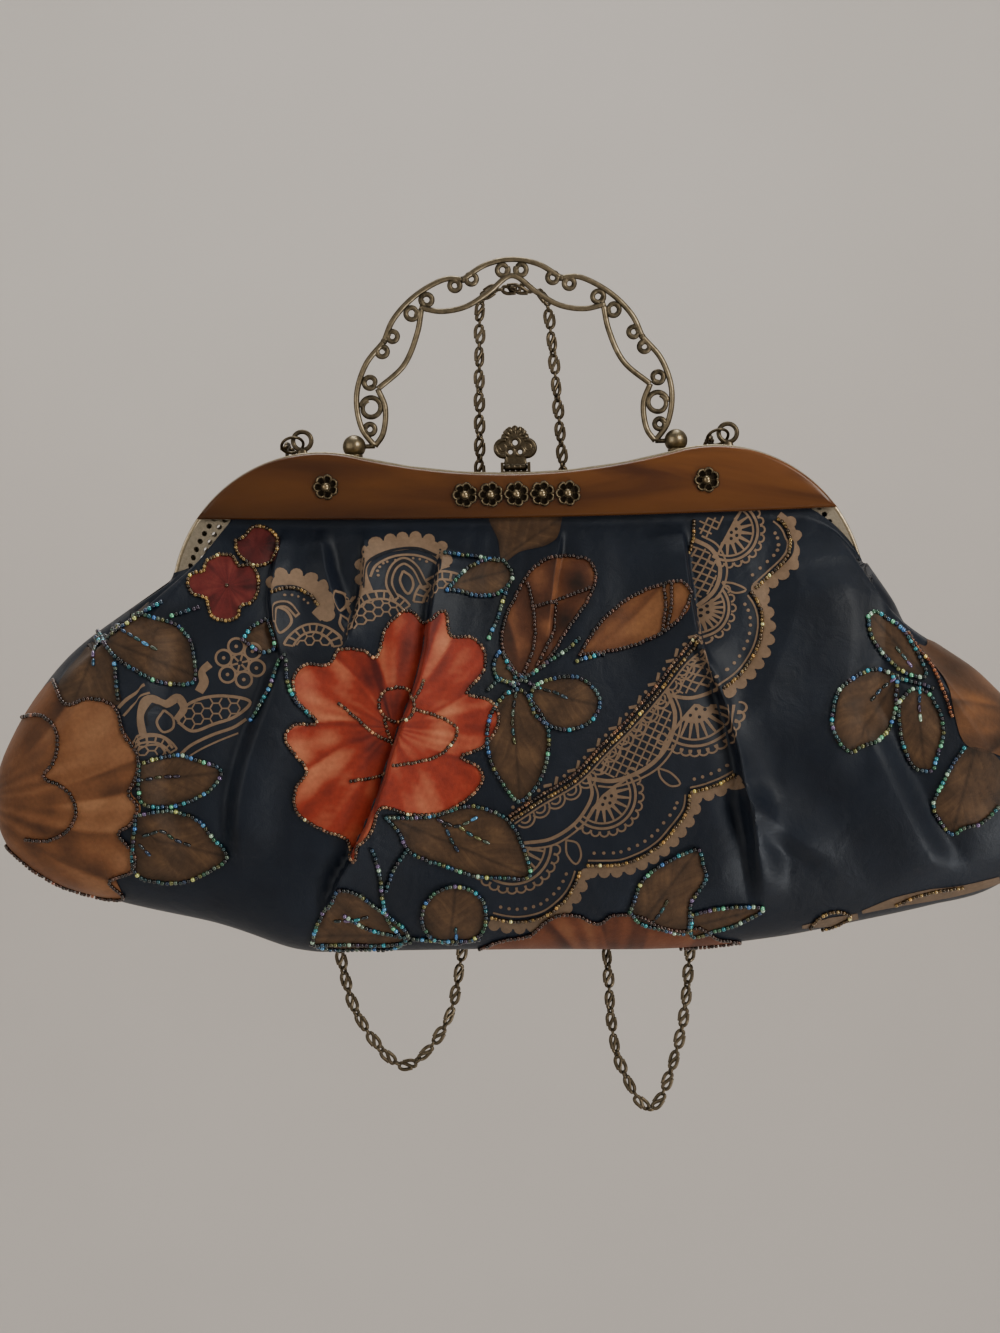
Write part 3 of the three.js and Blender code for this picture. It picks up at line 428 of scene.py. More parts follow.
def rosette(x, z):
    """Height over a disc: each petal has a rim that rises near its edge and a hollow inside it, a groove
    parts the petals, and a spherical dome fills the middle. Also gives each point's share of bright wear."""
    turn = full_turn(112)[None]
    r = np.concatenate([np.linspace(0, 1, 22), [1.0, 0.0]])[:, None]
    petal = np.abs(np.sin(ROSETTE_PETALS * turn / 2)) ** 0.6
    reach = ROSETTE_RADIUS * (0.78 + 0.22 * petal) * r
    rim_line = np.exp(-((r - 0.88) / 0.09) ** 2) + 0.8 * np.exp(-((petal - 0.42) / 0.16) ** 2) * (r > 0.42)
    hollow = np.exp(-((r - 0.64) / 0.16) ** 2) * petal**2
    height = 0.55 + 0.5 * rim_line * petal - 0.3 * hollow
    dome = np.sqrt(np.maximum(ROSETTE_DOME**2 - reach**2, 0))
    wear = np.clip(0.95 * rim_line * (0.4 + 0.6 * petal) - 0.35, -0.35, 1)
    wear = np.where(dome > 0.1, 1.0, wear) * np.ones_like(reach)
    height = np.maximum(height, 0.35 + dome) * np.ones_like(reach)
    height[-2:] = 0.0
    points = np.stack([reach * np.cos(turn), ROSETTE_BACK - height, reach * np.sin(turn)], axis=-1)
    return (points + BAG + (x, 0, z), quads(*reach.shape, wrap_columns=True)), wear


bronze = metal("rosette_cast_bronze", (0.014, 0.011, 0.008), (0.36, 0.29, 0.18), 1400.0, "wear")
made = [rosette(x, z) for x, z in ROSETTES.values()]
rosettes = add_mesh("rosettes", [part for part, _ in made], bronze,
                    attributes={"wear": np.concatenate([wear.ravel() for _, wear in made])})
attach(rosettes, "bag")
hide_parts(*ROSETTES)

# Ball lugs: turned brass balls on a short collar, soldered to the back half's rim.
# The pins of the handle turn in their inner sides.
BALL_X, BALL_Z, BALL_RADIUS = 49.8, 23.9, 3.6
PROFILE_COLLAR = [(0, 20.7), (2.5, 20.7), (2.7, 21.0), (2.5, 21.3), (2.1, 21.45)]
polished_brass = metal("antique_brass_polished", (0.03, 0.024, 0.014), (0.35, 0.295, 0.19), 700.0)
swing = np.radians(np.linspace(-42, 90, 20))
ball_profile = PROFILE_COLLAR + list(on_circle(0, BALL_Z, BALL_RADIUS, swing))
balls = []
for x in (-BALL_X, BALL_X):
    points, faces = lathe(ball_profile, 28, x, -CLOSING_Y)
    balls.append((points + BAG, faces))
lugs = add_mesh("ball_lugs", balls, polished_brass)
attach(lugs, "bag")
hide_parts("ball_lug_left", "ball_lug_right")

# Scroll handle: round brass wire bent in arcs, with a drop of solder and a curl wherever two arcs meet.
# One stiff piece; a pin at each foot turns in a ball lug.
WIRE_RADIUS, WIRE_STEP, CURL_RADIUS, PIVOT_PIN, PIN_SHORT = 0.9, 0.9, 0.84, 0.72, 1.2
PIVOT_Z, HANDLE_FOOT_X = -46.9, 43.4
ARC_WEAR, CURL_WEAR = 0.75, 0.4
SOLDER_AT, SOLDER_RADIUS = ((15.2, 4.2), (40.0, -14.5)), 1.08
HANDLE_ARCS = {
    "crown": [(0, 10.2), (8.2, 8.6), (15.2, 4.2)],
    "shoulder": [(15.2, 4.2), (20.4, 4.5), (30.0, -0.5), (37.0, -7.8), (40.0, -14.5)],
    "leg": [(40.0, -14.5), (45.8, -21.6), (48.8, -31.5), (47.3, -41.4), (43.4, -46.9)],
    "inner crown": [(0, 5.2), (7.4, 0), (14.5, -4.2), (22.2, -5.5), (28.8, -4.2)],
    "inner side": [(28.2, -4.6), (29.6, -12.0), (34.0, -22.0), (42.2, -29.2)],
    "inner leg": [(42.2, -29.2), (40.0, -35.0), (40.9, -43.2), (43.4, -46.9)],
}
HANDLE_CURLS = {  # x, z, radius, and the angle it starts from
    "centre": (2.8, 6.9, 1.7, 150),
    "crown end": (12.6, 4.3, 1.6, 40),
    "shoulder start": (17.7, 2.4, 1.6, 120),
    "inner crown end": (26.6, -1.9, 1.75, -70),
    "inner side start": (31.2, -6.0, 1.85, 150),
    "shoulder end": (37.4, -13.0, 1.6, -20),
    "leg start": (40.6, -17.6, 1.6, 90),
    "inner side end": (44.6, -27.2, 1.75, 210),
    "leg ring": (44.4, -34.8, 3.0, 0),
    "foot": (44.9, -41.6, 1.6, 10),
}


def smoothstep(value, low, high):
    """Nought below low, one above high, and an easy S between them."""
    t = np.clip((value - low) / (high - low), 0, 1)
    return t * t * (3 - 2 * t)


def distances(line):
    """How far each point of a line lies along it from its start."""
    return np.concatenate([[0], np.cumsum(np.linalg.norm(np.diff(line, axis=0), axis=1))])


def points_at(stops, walked, line):
    """Points of a line at stops along it."""
    return np.stack([np.interp(stops, walked, column) for column in line.T], axis=1)


def unit(vectors):
    """Vectors divided by their own lengths."""
    return vectors / np.linalg.norm(vectors, axis=-1, keepdims=True)


def smooth_path(through, step, closed=False):
    """A centripetal Catmull-Rom curve through the points, walked in equal steps: knots lie the square root of
    the distance apart, and each span blends the lines through its four nearest points."""
    p = np.asarray(through, float)
    if closed:
        p = np.vstack([p[-1:], p, p[:2]])
    else:
        p = np.vstack([2 * p[:1] - p[1:2], p, 2 * p[-1:] - p[-2:-1]])
    knots = np.concatenate([[0], np.cumsum(np.sqrt(np.linalg.norm(np.diff(p, axis=0), axis=1)))])
    spans = []
    for k in range(len(p) - 3):
        t0, t1, t2, t3 = knots[k : k + 4]
        t = np.linspace(t1, t2, 24, endpoint=False)[:, None]
        a1 = ((t1 - t) * p[k] + (t - t0) * p[k + 1]) / (t1 - t0)
        a2 = ((t2 - t) * p[k + 1] + (t - t1) * p[k + 2]) / (t2 - t1)
        a3 = ((t3 - t) * p[k + 2] + (t - t2) * p[k + 3]) / (t3 - t2)
        b1 = ((t2 - t) * a1 + (t - t0) * a2) / (t2 - t0)
        b2 = ((t3 - t) * a2 + (t - t1) * a3) / (t3 - t1)
        spans.append(((t2 - t) * b1 + (t - t1) * b2) / (t2 - t1))
    line = np.vstack(spans + [p[-2:-1]])
    walked = distances(line)
    stops = np.linspace(0, walked[-1], max(4, round(walked[-1] / step) + 1))
    return points_at(stops[:-1] if closed else stops, walked, line)


def tube(path, radius, sides, reference=(0.0, 1.0, 0.0), closed=False):
    """Round wire: a circle, of one radius or one for each point, carried square to the path. Open ends are
    closed to a point."""
    path = np.asarray(path, float)
    radius = np.broadcast_to(np.asarray(radius, float), (len(path),))
    if not closed:
        path = np.vstack([path[:1], path, path[-1:]])
        radius = np.concatenate([[0], radius, [0]])
    ahead = np.roll(path, -1, axis=0) - np.roll(path, 1, axis=0)
    if not closed:
        ahead[[0, 1]] = path[2] - path[1]
        ahead[[-1, -2]] = path[-2] - path[-3]
    ahead, reference = unit(ahead), np.asarray(reference, float)
    up = unit(reference - ahead * (ahead @ reference)[:, None])
    out = np.cross(ahead, up)
    turn = full_turn(sides)[None, :, None]
    ring = np.cos(turn) * out[:, None] + np.sin(turn) * up[:, None]
    points = path[:, None] + radius[:, None, None] * ring
    return points, quads(len(path), sides, wrap_rows=closed, wrap_columns=True)


def ball(centre, radii, rings=8, sides=14):
    """An ellipsoid by latitude and turn, closed at both poles."""
    lat = np.linspace(-np.pi / 2, np.pi / 2, rings)[:, None]
    turn = full_turn(sides)[None]
    globe = [np.cos(lat) * np.cos(turn), np.cos(lat) * np.sin(turn), np.sin(lat) + 0 * turn]
    points = np.stack(globe, axis=-1) * np.asarray(radii, float) + np.asarray(centre, float)
    return points, quads(rings, sides, wrap_columns=True)


def curl(x, z, radius, start, side):
    """Wire rolled once round a circle and a little further, just inside itself, leaving an open eye."""
    turn = np.linspace(0, 1.2, 40)
    shrink = radius * (1 - 0.30 * smoothstep(turn, 0.78, 1.2))
    angle = np.radians(start) + 2 * np.pi * turn
    path = upright(on_circle(x, z, shrink, angle) * (side, 1))
    return tube(path, CURL_RADIUS * (1 - 0.3 * smoothstep(turn, 0.8, 1.2)), 9)


wires = []
for arc in HANDLE_ARCS.values():
    mirrored = [(-x, z) for x, z in arc]
    lines = [mirrored[::-1] + arc[1:]] if arc[0][0] == 0 else [arc, mirrored]
    wires += [(tube(upright(smooth_path(line, WIRE_STEP)), WIRE_RADIUS, 10), ARC_WEAR) for line in lines]
for row in HANDLE_CURLS.values():
    wires += [(curl(*row, side), CURL_WEAR) for side in (-1, 1)]
for side in (-1, 1):
    wires += [(ball((side * x, 0, z), [SOLDER_RADIUS] * 3), CURL_WEAR) for x, z in SOLDER_AT]
    pin = np.linspace((side * HANDLE_FOOT_X, 0, PIVOT_Z), (side * (BALL_X - PIN_SHORT), 0, PIVOT_Z), 6)
    wires.append((tube(pin, PIVOT_PIN, 10), CURL_WEAR))
antique_brass = metal("antique_brass_wire", (0.010, 0.008, 0.006), (0.33, 0.28, 0.19), 500.0, "wear")
wear = np.concatenate([np.full(points.size // 3, share) for (points, _), share in wires])
handle = add_mesh("handle_scrolls", [part for part, _ in wires], antique_brass, attributes={"wear": wear})
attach(handle, "handle")
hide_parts("handle")

# Clasp: a cast tab of dark bronze, pierced by three eyes under a fluted crown, on a pin between two cheeks.
# The drawn tab and base stay; raised rims, flutes and the barrel round the pin are cast on, and turn with the
# tab.
CLASP_Y = -CLOSING_Y
CLASP_PIN_Z, BARREL_X, BARREL = 16.6, 3.5, 1.2
TAB_RIMS = {  # x, z, radius, wire, and the two angles it is turned between
    "upper eye": (0.0, 24.2, 1.5, 0.72, 0, 360),
    "left eye": (-1.5, 21.3, 1.3, 0.66, 0, 360),
    "right eye": (1.5, 21.3, 1.3, 0.66, 0, 360),
    "left lobe": (-3.5, 22.5, 2.5, 0.8, 75, 285),
    "right lobe": (3.5, 22.5, 2.5, 0.8, 105, -105),
    "left lobe eye": (-3.9, 22.7, 1.0, 0.6, 0, 360),
    "right lobe eye": (3.9, 22.7, 1.0, 0.6, 0, 360),
    "left neck": (-4.9, 18.8, 2.1, 0.62, -40, 50),
    "right neck": (4.9, 18.8, 2.1, 0.62, 220, 130),
}
FLUTES, FLUTE_ROOT_Z, FLUTE_REACH = 7, 25.1, (1.7, 4.4)
dark_bronze = metal("dark_bronze_cast", (0.010, 0.008, 0.006), (0.15, 0.125, 0.085), 900.0)
for node in ("clasp_base", "clasp_tab"):
    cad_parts[node].material_slots[0].material = dark_bronze


def ring_path(x, y, z, radius, points=30, start=0.0, end=360.0):
    """A circle facing the front, or the part of it between two angles."""
    turn = np.radians(np.linspace(start, end, points, endpoint=abs(end - start) < 360))
    return upright(on_circle(x, z, radius, turn), y)


tab = []
for x, z, radius, wire, start, end in TAB_RIMS.values():
    path = ring_path(x, CLASP_Y, z, radius, 30, start, end)
    tab.append(tube(path, wire, 9, closed=end == 360))
for k in range(FLUTES):
    lean = math.pi * (k + 0.5) / FLUTES
    reach = np.linspace(*FLUTE_REACH, 12)
    flute = upright(on_circle(0, FLUTE_ROOT_Z, reach, lean), CLASP_Y)
    tab.append(tube(flute, 0.3 + 0.55 * np.sin(np.pi * np.linspace(0.08, 0.9, 12)), 9))
barrel = np.linspace((-BARREL_X, CLASP_Y, CLASP_PIN_Z), (BARREL_X, CLASP_Y, CLASP_PIN_Z), 29)
tab.append(tube(barrel, BARREL - 0.22 * (np.arange(29) % 7 == 0), 16))
tab = add_mesh("clasp_tab_relief", [(points + BAG, faces) for points, faces in tab], dark_bronze)
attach(tab, "clasp")

# Chain ears and jump rings: flat bronze eyes soldered to the back half's rim, each with a wire ring through
# it. The rings lean back and carry the ends of the chain.
EAR_X, EAR_Z, EAR_MIDDLE, EAR_FOOT_Z = 65.9, 26.0, 2.83, 21.45
JUMP_RADIUS, JUMP_WIRE = 3.4, 0.48
JUMP_HANG, JUMP_LEAN = np.array([-3.1, 0.6, -1.2]), np.array([0.0, 0.8, -0.6])
ears, rings = [], []
for side in (-1, 1):
    points, faces = tube(ring_path(side * EAR_X, 0, EAR_Z, EAR_MIDDLE, 40), 0.74, 10, closed=True)
    ears.append((points * (1, 0.68, 1) + (0, CLASP_Y, 0), faces))
    stem = np.linspace((side * EAR_X, 0, EAR_FOOT_Z), (side * EAR_X, 0, EAR_Z - EAR_MIDDLE + 0.2), 6)
    points, faces = tube(stem, np.linspace(1.9, 1.3, 6), 14)
    ears.append((points * (1, 0.4, 1) + (0, CLASP_Y, 0), faces))
    along = unit(JUMP_HANG)
    lean = unit(JUMP_LEAN - along * (JUMP_LEAN @ along))
    turn = full_turn(40)[:, None]
    loop = JUMP_RADIUS * (np.cos(turn) * along + np.sin(turn) * lean)
    loop = loop + (side * EAR_X, CLASP_Y, EAR_Z) + JUMP_HANG
    rings.append(tube(loop, JUMP_WIRE, 9, reference=np.cross(along, lean), closed=True))
for name, parts, nodes in (("chain_ears", ears, ("ear_left", "ear_right")),
                           ("jump_rings", rings, ("jump_ring_left", "jump_ring_right"))):
    piece = add_mesh(name, [(points + BAG, faces) for points, faces in parts], dark_bronze)
    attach(piece, "bag")
    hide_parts(*nodes)

# Chain: tight S links of dark bronze with a small ring between each pair, hooked to the jump rings.
# Each half falls behind the bag, turns in a loop below it and comes up to the hanging point.
LINK_PITCH, LINK_LENGTH, LINK_WIDTH, LINK_WIRE = 7.0, 6.6, 3.7, 0.6
SMALL_RING, SMALL_WIRE = 1.05, 0.5
CHAIN_HALVES = {
    "chain_left": [
        (-71.6, 1.8, -46.6), (-71.0, 5.6, -46.4), (-70.5, 9.6, -47.0), (-70.6, 12.2, -50.4),
        (-70.5, 12.6, -56.0), (-70.0, 13.0, -72.0), (-67.5, 19.6, -112.0), (-63.0, 22.4, -160.0),
        (-59.2, 22.0, -206.0), (-52.8, 21.6, -228.5), (-39.1, 21.4, -243.0), (-26.4, 21.6, -231.5),
        (-19.9, 22.0, -206.5), (-17.0, 22.4, -160.0), (-14.0, 19.6, -112.0), (-11.6, 13.0, -74.0),
        (-11.2, 10.6, -55.0), (-10.4, 6.4, -12.0), (-9.6, 5.4, -1.8), (-6.8, 5.2, 1.4), (-0.2, 5.2, 2.0)],
    "chain_right": [
        (60.2, 1.8, -46.4), (60.9, 5.6, -46.0), (61.2, 9.6, -46.4), (61.2, 12.2, -50.2), (61.1, 12.6, -56.0),
        (61.0, 13.0, -72.0), (59.4, 19.6, -112.0), (56.4, 22.4, -160.0), (53.2, 22.0, -208.0),
        (48.8, 21.6, -238.0), (39.6, 21.4, -258.3), (29.8, 21.6, -243.0), (26.4, 22.0, -208.0),
        (23.0, 22.4, -160.0), (19.4, 19.6, -112.0), (15.9, 13.0, -74.0), (15.1, 10.6, -55.0),
        (11.9, 6.4, -12.0), (10.4, 5.4, -1.8), (7.2, 5.2, 1.4), (0.2, 5.2, 2.0)],
}


def link_shape():
    """Wire bent in a tight S, long along x: a loop at each end and a slanting bar between them, with the two
    free ends laid along the bar. The loops stand a little out of the bar's plane, on opposite sides."""
    half, wide = LINK_LENGTH / 2 - LINK_WIRE, LINK_WIDTH / 2 - LINK_WIRE
    bend = [(0.5, 0.98, 0.3), (-0.55, 1.0, 0.4), (-0.98, 0.4, 0.3), (-0.9, -0.6, 0.1), (-0.5, -0.62, 0.0)]
    bend += [(0, 0, 0)]
    bend += [(-x, -y, -z) for x, y, z in bend[-2::-1]]
    path = smooth_path(np.array(bend) * (half, wide, 0.5), 0.42)
    return tube(path, LINK_WIRE, 7, reference=(0.0, 0.0, 1.0))


def small_ring_shape():
    """A plain ring of wire that joins two links, standing across them."""
    return tube(upright(on_circle(0, 0, SMALL_RING, full_turn(14))), SMALL_WIRE, 6, closed=True)


def along_chain(shape, places, ahead, roll):
    """One copy of a shape at each place, its length turned along the chain and rolled about it."""
    points, faces = shape
    points = points.reshape(-1, 3)
    level = np.where(np.abs(ahead[:, 1:2]) > 0.9, (1.0, 0.0, 0.0), (0.0, 1.0, 0.0))
    side = unit(np.cross(level, ahead))
    up = np.cross(ahead, side)
    c, s = np.cos(roll)[:, None], np.sin(roll)[:, None]
    turned = np.stack([ahead, c * side + s * up, c * up - s * side], axis=1)
    copies = np.einsum("pk,nkj->npj", points, turned) + places[:, None]
    shifts = np.arange(len(places))[:, None, None] * len(points)
    return copies, (faces[None] + shifts).reshape(-1, 4)


chain_bronze = metal("chain_dark_bronze", (0.010, 0.008, 0.006), (0.17, 0.14, 0.095), 1100.0)
sway = np.random.default_rng(12)
for name, through in CHAIN_HALVES.items():
    walk = smooth_path(through, LINK_PITCH / 2)
    ahead = unit(np.gradient(walk, axis=0))
    long_at, ring_at = slice(1, None, 2), slice(0, None, 2)
    roll = np.where(np.arange(len(walk)) % 4 < 2, -0.25, 0.3) + sway.uniform(-0.3, 0.3, len(walk))
    parts = [along_chain(link_shape(), walk[long_at], ahead[long_at], roll[long_at]),
             along_chain(small_ring_shape(), walk[ring_at], ahead[ring_at], roll[ring_at])]
    chain = add_mesh(name + "_links", parts, chain_bronze)
    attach(chain, "bag")
    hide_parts(name)

# Satin bag: two walls of navy printed satin, pleated into the frame and sewn together round the seam.
# Lined and stiffened by the beadwork, they hang full in the middle, with folds that fan out from the frame.
CLOTH_TUCK_Z, CLOTH_TOP_DEPTH = 3.0, 7.7
FAN_SPREAD, FAN_CORNER, CLOTH_END = 109.0, 0.785, (104.6, -14.6)
LEFT_EDGE_BOW, RIGHT_EDGE_BOW, EDGE_WAY = -3.8, 2.4, (0.68, 0.73)
BELLY_START, BELLY_PEAK, BELLY_RISE, FAN_FULL_LENGTH = 0.035, 0.4015, 0.9, 118.0
WRAP_ROUNDNESS, FOLDS_COME, FOLDS_GO = 0.4, (0.03, 0.13), (0.88, 1.0)
FRONT_BELLY, BACK_BELLY = 17.5, 15.5
SEAM = np.array([  # fan line, x, z
    (-1.0, -105.2, -15.4), (-0.98, -109.6, -20.6), (-0.955, -121.5, -26.8), (-0.91, -139, -40),
    (-0.87, -152, -57.5), (-0.83, -160.5, -77), (-0.79, -158.8, -95.5), (-0.74, -146.5, -107.6),
    (-0.69, -124, -115), (-0.6, -95, -122), (-0.42, -70, -130.6), (-0.16, -48, -131.6), (0.06, 0, -131.8),
    (0.28, 45, -132.4), (0.487, 78, -129.6), (0.64, 104, -125.0), (0.74, 125, -120.8), (0.81, 143, -116.2),
    (0.855, 156.5, -106), (0.89, 161, -89), (0.92, 156, -68), (0.947, 142, -51), (0.962, 130, -42.2),
    (0.974, 119.8, -35.8), (0.987, 115, -27), (1.0, 107.4, -15.4)])
SHOULDERS = [  # the fan line where the seam curves inwards, how widely that is felt, how far and which way
    {"at": -0.915, "felt": 0.035, "drawn": 5.6, "way": (0.72, -0.69)},
    {"at": 0.926, "felt": 0.048, "drawn": 9.5, "way": (-0.72, -0.69)},
]
FOLD_TROUGH, FOLD_FADE, FOLD_START, FOLD_END, SOFT_EDGE = -0.5, 9.0, 9.0, 16.0, 4.2
FRONT_FOLDS = [  # lines in picture points; over is the side that lies on top
    {"fold": "crescent pleat", "over": "right", "depth": 2.2, "spread": 13, "edge": 1.5,
     "through": [(284, 518), (276, 550), (270, 590), (273, 622), (281, 650), (288, 680)]},
    {"fold": "left pleat", "over": "left", "depth": 3.4, "spread": 11, "edge": 4.0,
     "through": [(316, 515), (320, 550), (326, 580), (338, 610), (352, 650)]},
    {"fold": "lace pleat", "over": "right", "depth": 3.0, "spread": 20, "edge": 1.5,
     "through": [(361, 515), (363, 560), (361, 595), (351, 630), (336, 665)]},
    {"fold": "flower fold", "over": "right", "depth": 4.4, "spread": 26, "edge": 1.5,
     "through": [(446, 540), (433, 600), (428, 650), (418, 690), (400, 740), (381, 802), (360, 848),
         (336, 888), (322, 930)]},
    {"fold": "centre tuck", "over": "left", "depth": 2.0, "spread": 14, "edge": 1.5,
     "through": [(564, 515), (559, 550), (553, 580), (550, 615), (546, 660)]},
    {"fold": "lace fold", "over": "left", "depth": 3.4, "spread": 22, "edge": 1.7,
     "through": [(684, 512), (687, 560), (694, 620), (703, 660), (716, 700)]},
    {"fold": "lower lace fold", "over": "right", "depth": 4.0, "spread": 11, "edge": 1.9,
     "through": [(696, 628), (712, 672), (726, 710), (737, 752), (744, 792), (752, 826), (758, 860)]},
    {"fold": "low ridge", "over": "right", "depth": 3.6, "spread": 9, "edge": 4.6,
     "through": [(740, 776), (750, 815), (757, 850), (764, 890), (768, 920)]},
    {"fold": "right slope", "over": "right", "depth": 1.5, "spread": 24, "edge": 10.0,
     "through": [(800, 530), (802, 590), (786, 645), (764, 700), (752, 760)]},
    {"fold": "right shoulder", "over": "left", "depth": 1.6, "spread": 24, "edge": 11.0,
     "through": [(842, 560), (850, 620), (842, 680), (828, 740), (822, 800)]},
    {"fold": "right low fold", "over": "left", "depth": 2.8, "spread": 20, "edge": 9.0,
     "through": [(844, 700), (870, 752), (890, 790), (913, 834), (935, 868), (958, 896)]},
    {"fold": "right wrinkle", "over": "right", "depth": 1.7, "spread": 13, "edge": 6.0,
     "through": [(748, 790), (776, 822), (810, 846), (850, 862)]},
    {"fold": "left slope", "over": "right", "depth": 3.0, "spread": 14, "edge": 6.0,
     "through": [(288, 655), (272, 705), (252, 762), (242, 815), (248, 880)]},
    {"fold": "left end", "over": "left", "depth": 1.8, "spread": 18, "edge": 9.0,
     "through": [(160, 620), (142, 690), (140, 760), (152, 830), (184, 890)]},
]
BACK_FOLDS = [
    {"fold": "left pleat", "over": "right", "depth": 2.2, "spread": 22, "edge": 3.0,
     "through": [(350, 515), (340, 600), (318, 700), (300, 800)]},
    {"fold": "middle pleat", "over": "left", "depth": 1.8, "spread": 24, "edge": 3.0,
     "through": [(520, 515), (524, 600), (530, 700), (532, 780)]},
    {"fold": "right pleat", "over": "left", "depth": 2.2, "spread": 22, "edge": 3.0,
     "through": [(668, 515), (680, 600), (704, 700), (724, 800)]},
]
SIGHT_SHARE = 0.967
RIGHT = np.array([math.cos(CAMERA_ROLL), 0, -math.sin(CAMERA_ROLL)])
UP = np.array([math.sin(CAMERA_ROLL), 0, math.cos(CAMERA_ROLL)])
PULL, PULL_REACH = 0.75, 3.0
GATHERS, GATHER_DEPTH, GATHER_REACH, SWAY = 17, 0.12, 0.16, 0.3
FRONT_GRID, BACK_GRID = (500, 190), (260, 110)


def frame_edge(u):
    """Where fan line u leaves the frame: level behind the panel, then in a shallow bow down to the frame's
    end."""
    past = np.maximum(0, np.abs(u) - FAN_CORNER) / (1 - FAN_CORNER)
    corner = FAN_SPREAD * np.minimum(np.abs(u), FAN_CORNER)
    bow = np.where(u > 0, RIGHT_EDGE_BOW, LEFT_EDGE_BOW) * 4 * past * (1 - past)
    x = np.sign(u) * (corner + (CLOTH_END[0] - corner) * past + EDGE_WAY[0] * bow)
    return np.stack([x, CLOTH_TUCK_Z + (CLOTH_END[1] - CLOTH_TUCK_Z) * past + EDGE_WAY[1] * bow], axis=-1)


def seam_edge(u):
    """Where fan line u meets the seam: a cubic through the rows of SEAM whose slope at each row is that of
    the line between its neighbours."""
    k = np.clip(np.searchsorted(SEAM[:, 0], u), 1, len(SEAM) - 1)
    before, start, end, after = (SEAM[np.clip(k + n, 0, len(SEAM) - 1)] for n in (-2, -1, 0, 1))
    span = (end - start)[..., :1]
    t = (u[..., None] - start[..., :1]) / span
    slope_in = (end - before)[..., 1:] / (end - before)[..., :1]
    slope_out = (after - start)[..., 1:] / (after - start)[..., :1]
    return ((2 * t**3 - 3 * t**2 + 1) * start[..., 1:] + (t**3 - 2 * t**2 + t) * span * slope_in
            + (3 * t**2 - 2 * t**3) * end[..., 1:] + (t**3 - t**2) * span * slope_out)


def fan_bow(u, a):
    """How far the fan lines are drawn in at the two shoulders: a bell over the lines, most in the middle of
    each."""
    bells = [row["drawn"] * np.exp(-(((u - row["at"]) / row["felt"]) ** 2)) for row in SHOULDERS]
    bow = sum(bell[..., None] * np.array(row["way"]) for bell, row in zip(bells, SHOULDERS))
    return (4 * a * (1 - a))[..., None] * bow


def sight(picture):
    """Where the sight lines through picture points cross the plane in which the two halves of the frame
    close."""
    picture = np.asarray(picture, float)
    across = (picture[..., :1] - PICTURE[0] / 2) * POINT_MM * RIGHT
    return CAMERA_AT + (0, CAMERA_DISTANCE, 0) + across + (PICTURE[1] / 2 - picture[..., 1:]) * POINT_MM * UP


def off_fold(fold, place):
    """How far places of the wall lie from a fold's line, positive on the side that lies on top; the way off
    the line to that side; and the fold's strength, which comes in at its top and dies out at its foot."""
    line = fold["line"]
    lengths = np.linalg.norm(np.diff(line, axis=0), axis=1)
    walked = np.concatenate([[0], np.cumsum(lengths)])
    nearest, way = np.full(place.shape[:-1], np.inf), np.zeros(place.shape)
    gap, along = np.zeros(place.shape[:-1]), np.zeros(place.shape[:-1])
    for start, run, length, before in zip(line, np.diff(line, axis=0) / lengths[:, None], lengths, walked):
        off = place - start
        ahead = np.clip(off @ run, 0, length)
        aside = off @ np.array([-run[1], run[0]])
        away = np.sum((off - ahead[..., None] * run) ** 2, axis=-1)
        closer = away < nearest
        nearest = np.where(closer, away, nearest)
        gap, along = np.where(closer, aside, gap), np.where(closer, before + ahead, along)
        way = np.where(closer[..., None], (-run[1], run[0]), way)
    side = 1 if fold["over"] == "right" else -1
    strength = smoothstep(along, 0, FOLD_START) * smoothstep(walked[-1] - along, 0, FOLD_END)
    return side * np.sign(gap) * np.sqrt(nearest), side * way, strength


def near_fold(fold, place, reach):
    """Which places lie within a fold's box, widened by a reach."""
    low, high = fold["line"].min(axis=0) - reach, fold["line"].max(axis=0) + reach
    return np.all((place > low) & (place < high), axis=-1)


def fold_height(folds, place):
    """Each fold rises as a square towards its crest from the side that lies on top, or in an easy S where its
    edge is soft, drops over that edge to a trough on the other side, and fades out from there."""
    height = np.zeros(place.shape[:-1])
    for fold in folds:
        near = near_fold(fold, place, max(fold["spread"], fold["edge"] + FOLD_FADE))
        gap, _, strength = off_fold(fold, place[near])
        rise = np.clip(1 - gap / fold["spread"], 0, 1)
        rise = rise**2 * (3 - 2 * rise if fold["edge"] > SOFT_EDGE else 1)
        drop = 1 + (FOLD_TROUGH - 1) * smoothstep(-gap, 0, fold["edge"])
        fade = FOLD_TROUGH * np.clip(1 - (-gap - fold["edge"]) / FOLD_FADE, 0, 1) ** 2
        under = np.where(-gap < fold["edge"], drop, fade)
        height[near] += fold["depth"] * strength * np.where(gap > 0, rise, under)
    return height


for fold in FRONT_FOLDS + BACK_FOLDS:
    seen = CAMERA_AT + SIGHT_SHARE * (sight(fold["through"]) - CAMERA_AT) - BAG
    fold["line"] = smooth_path(seen[:, [0, 2]], 8.0)


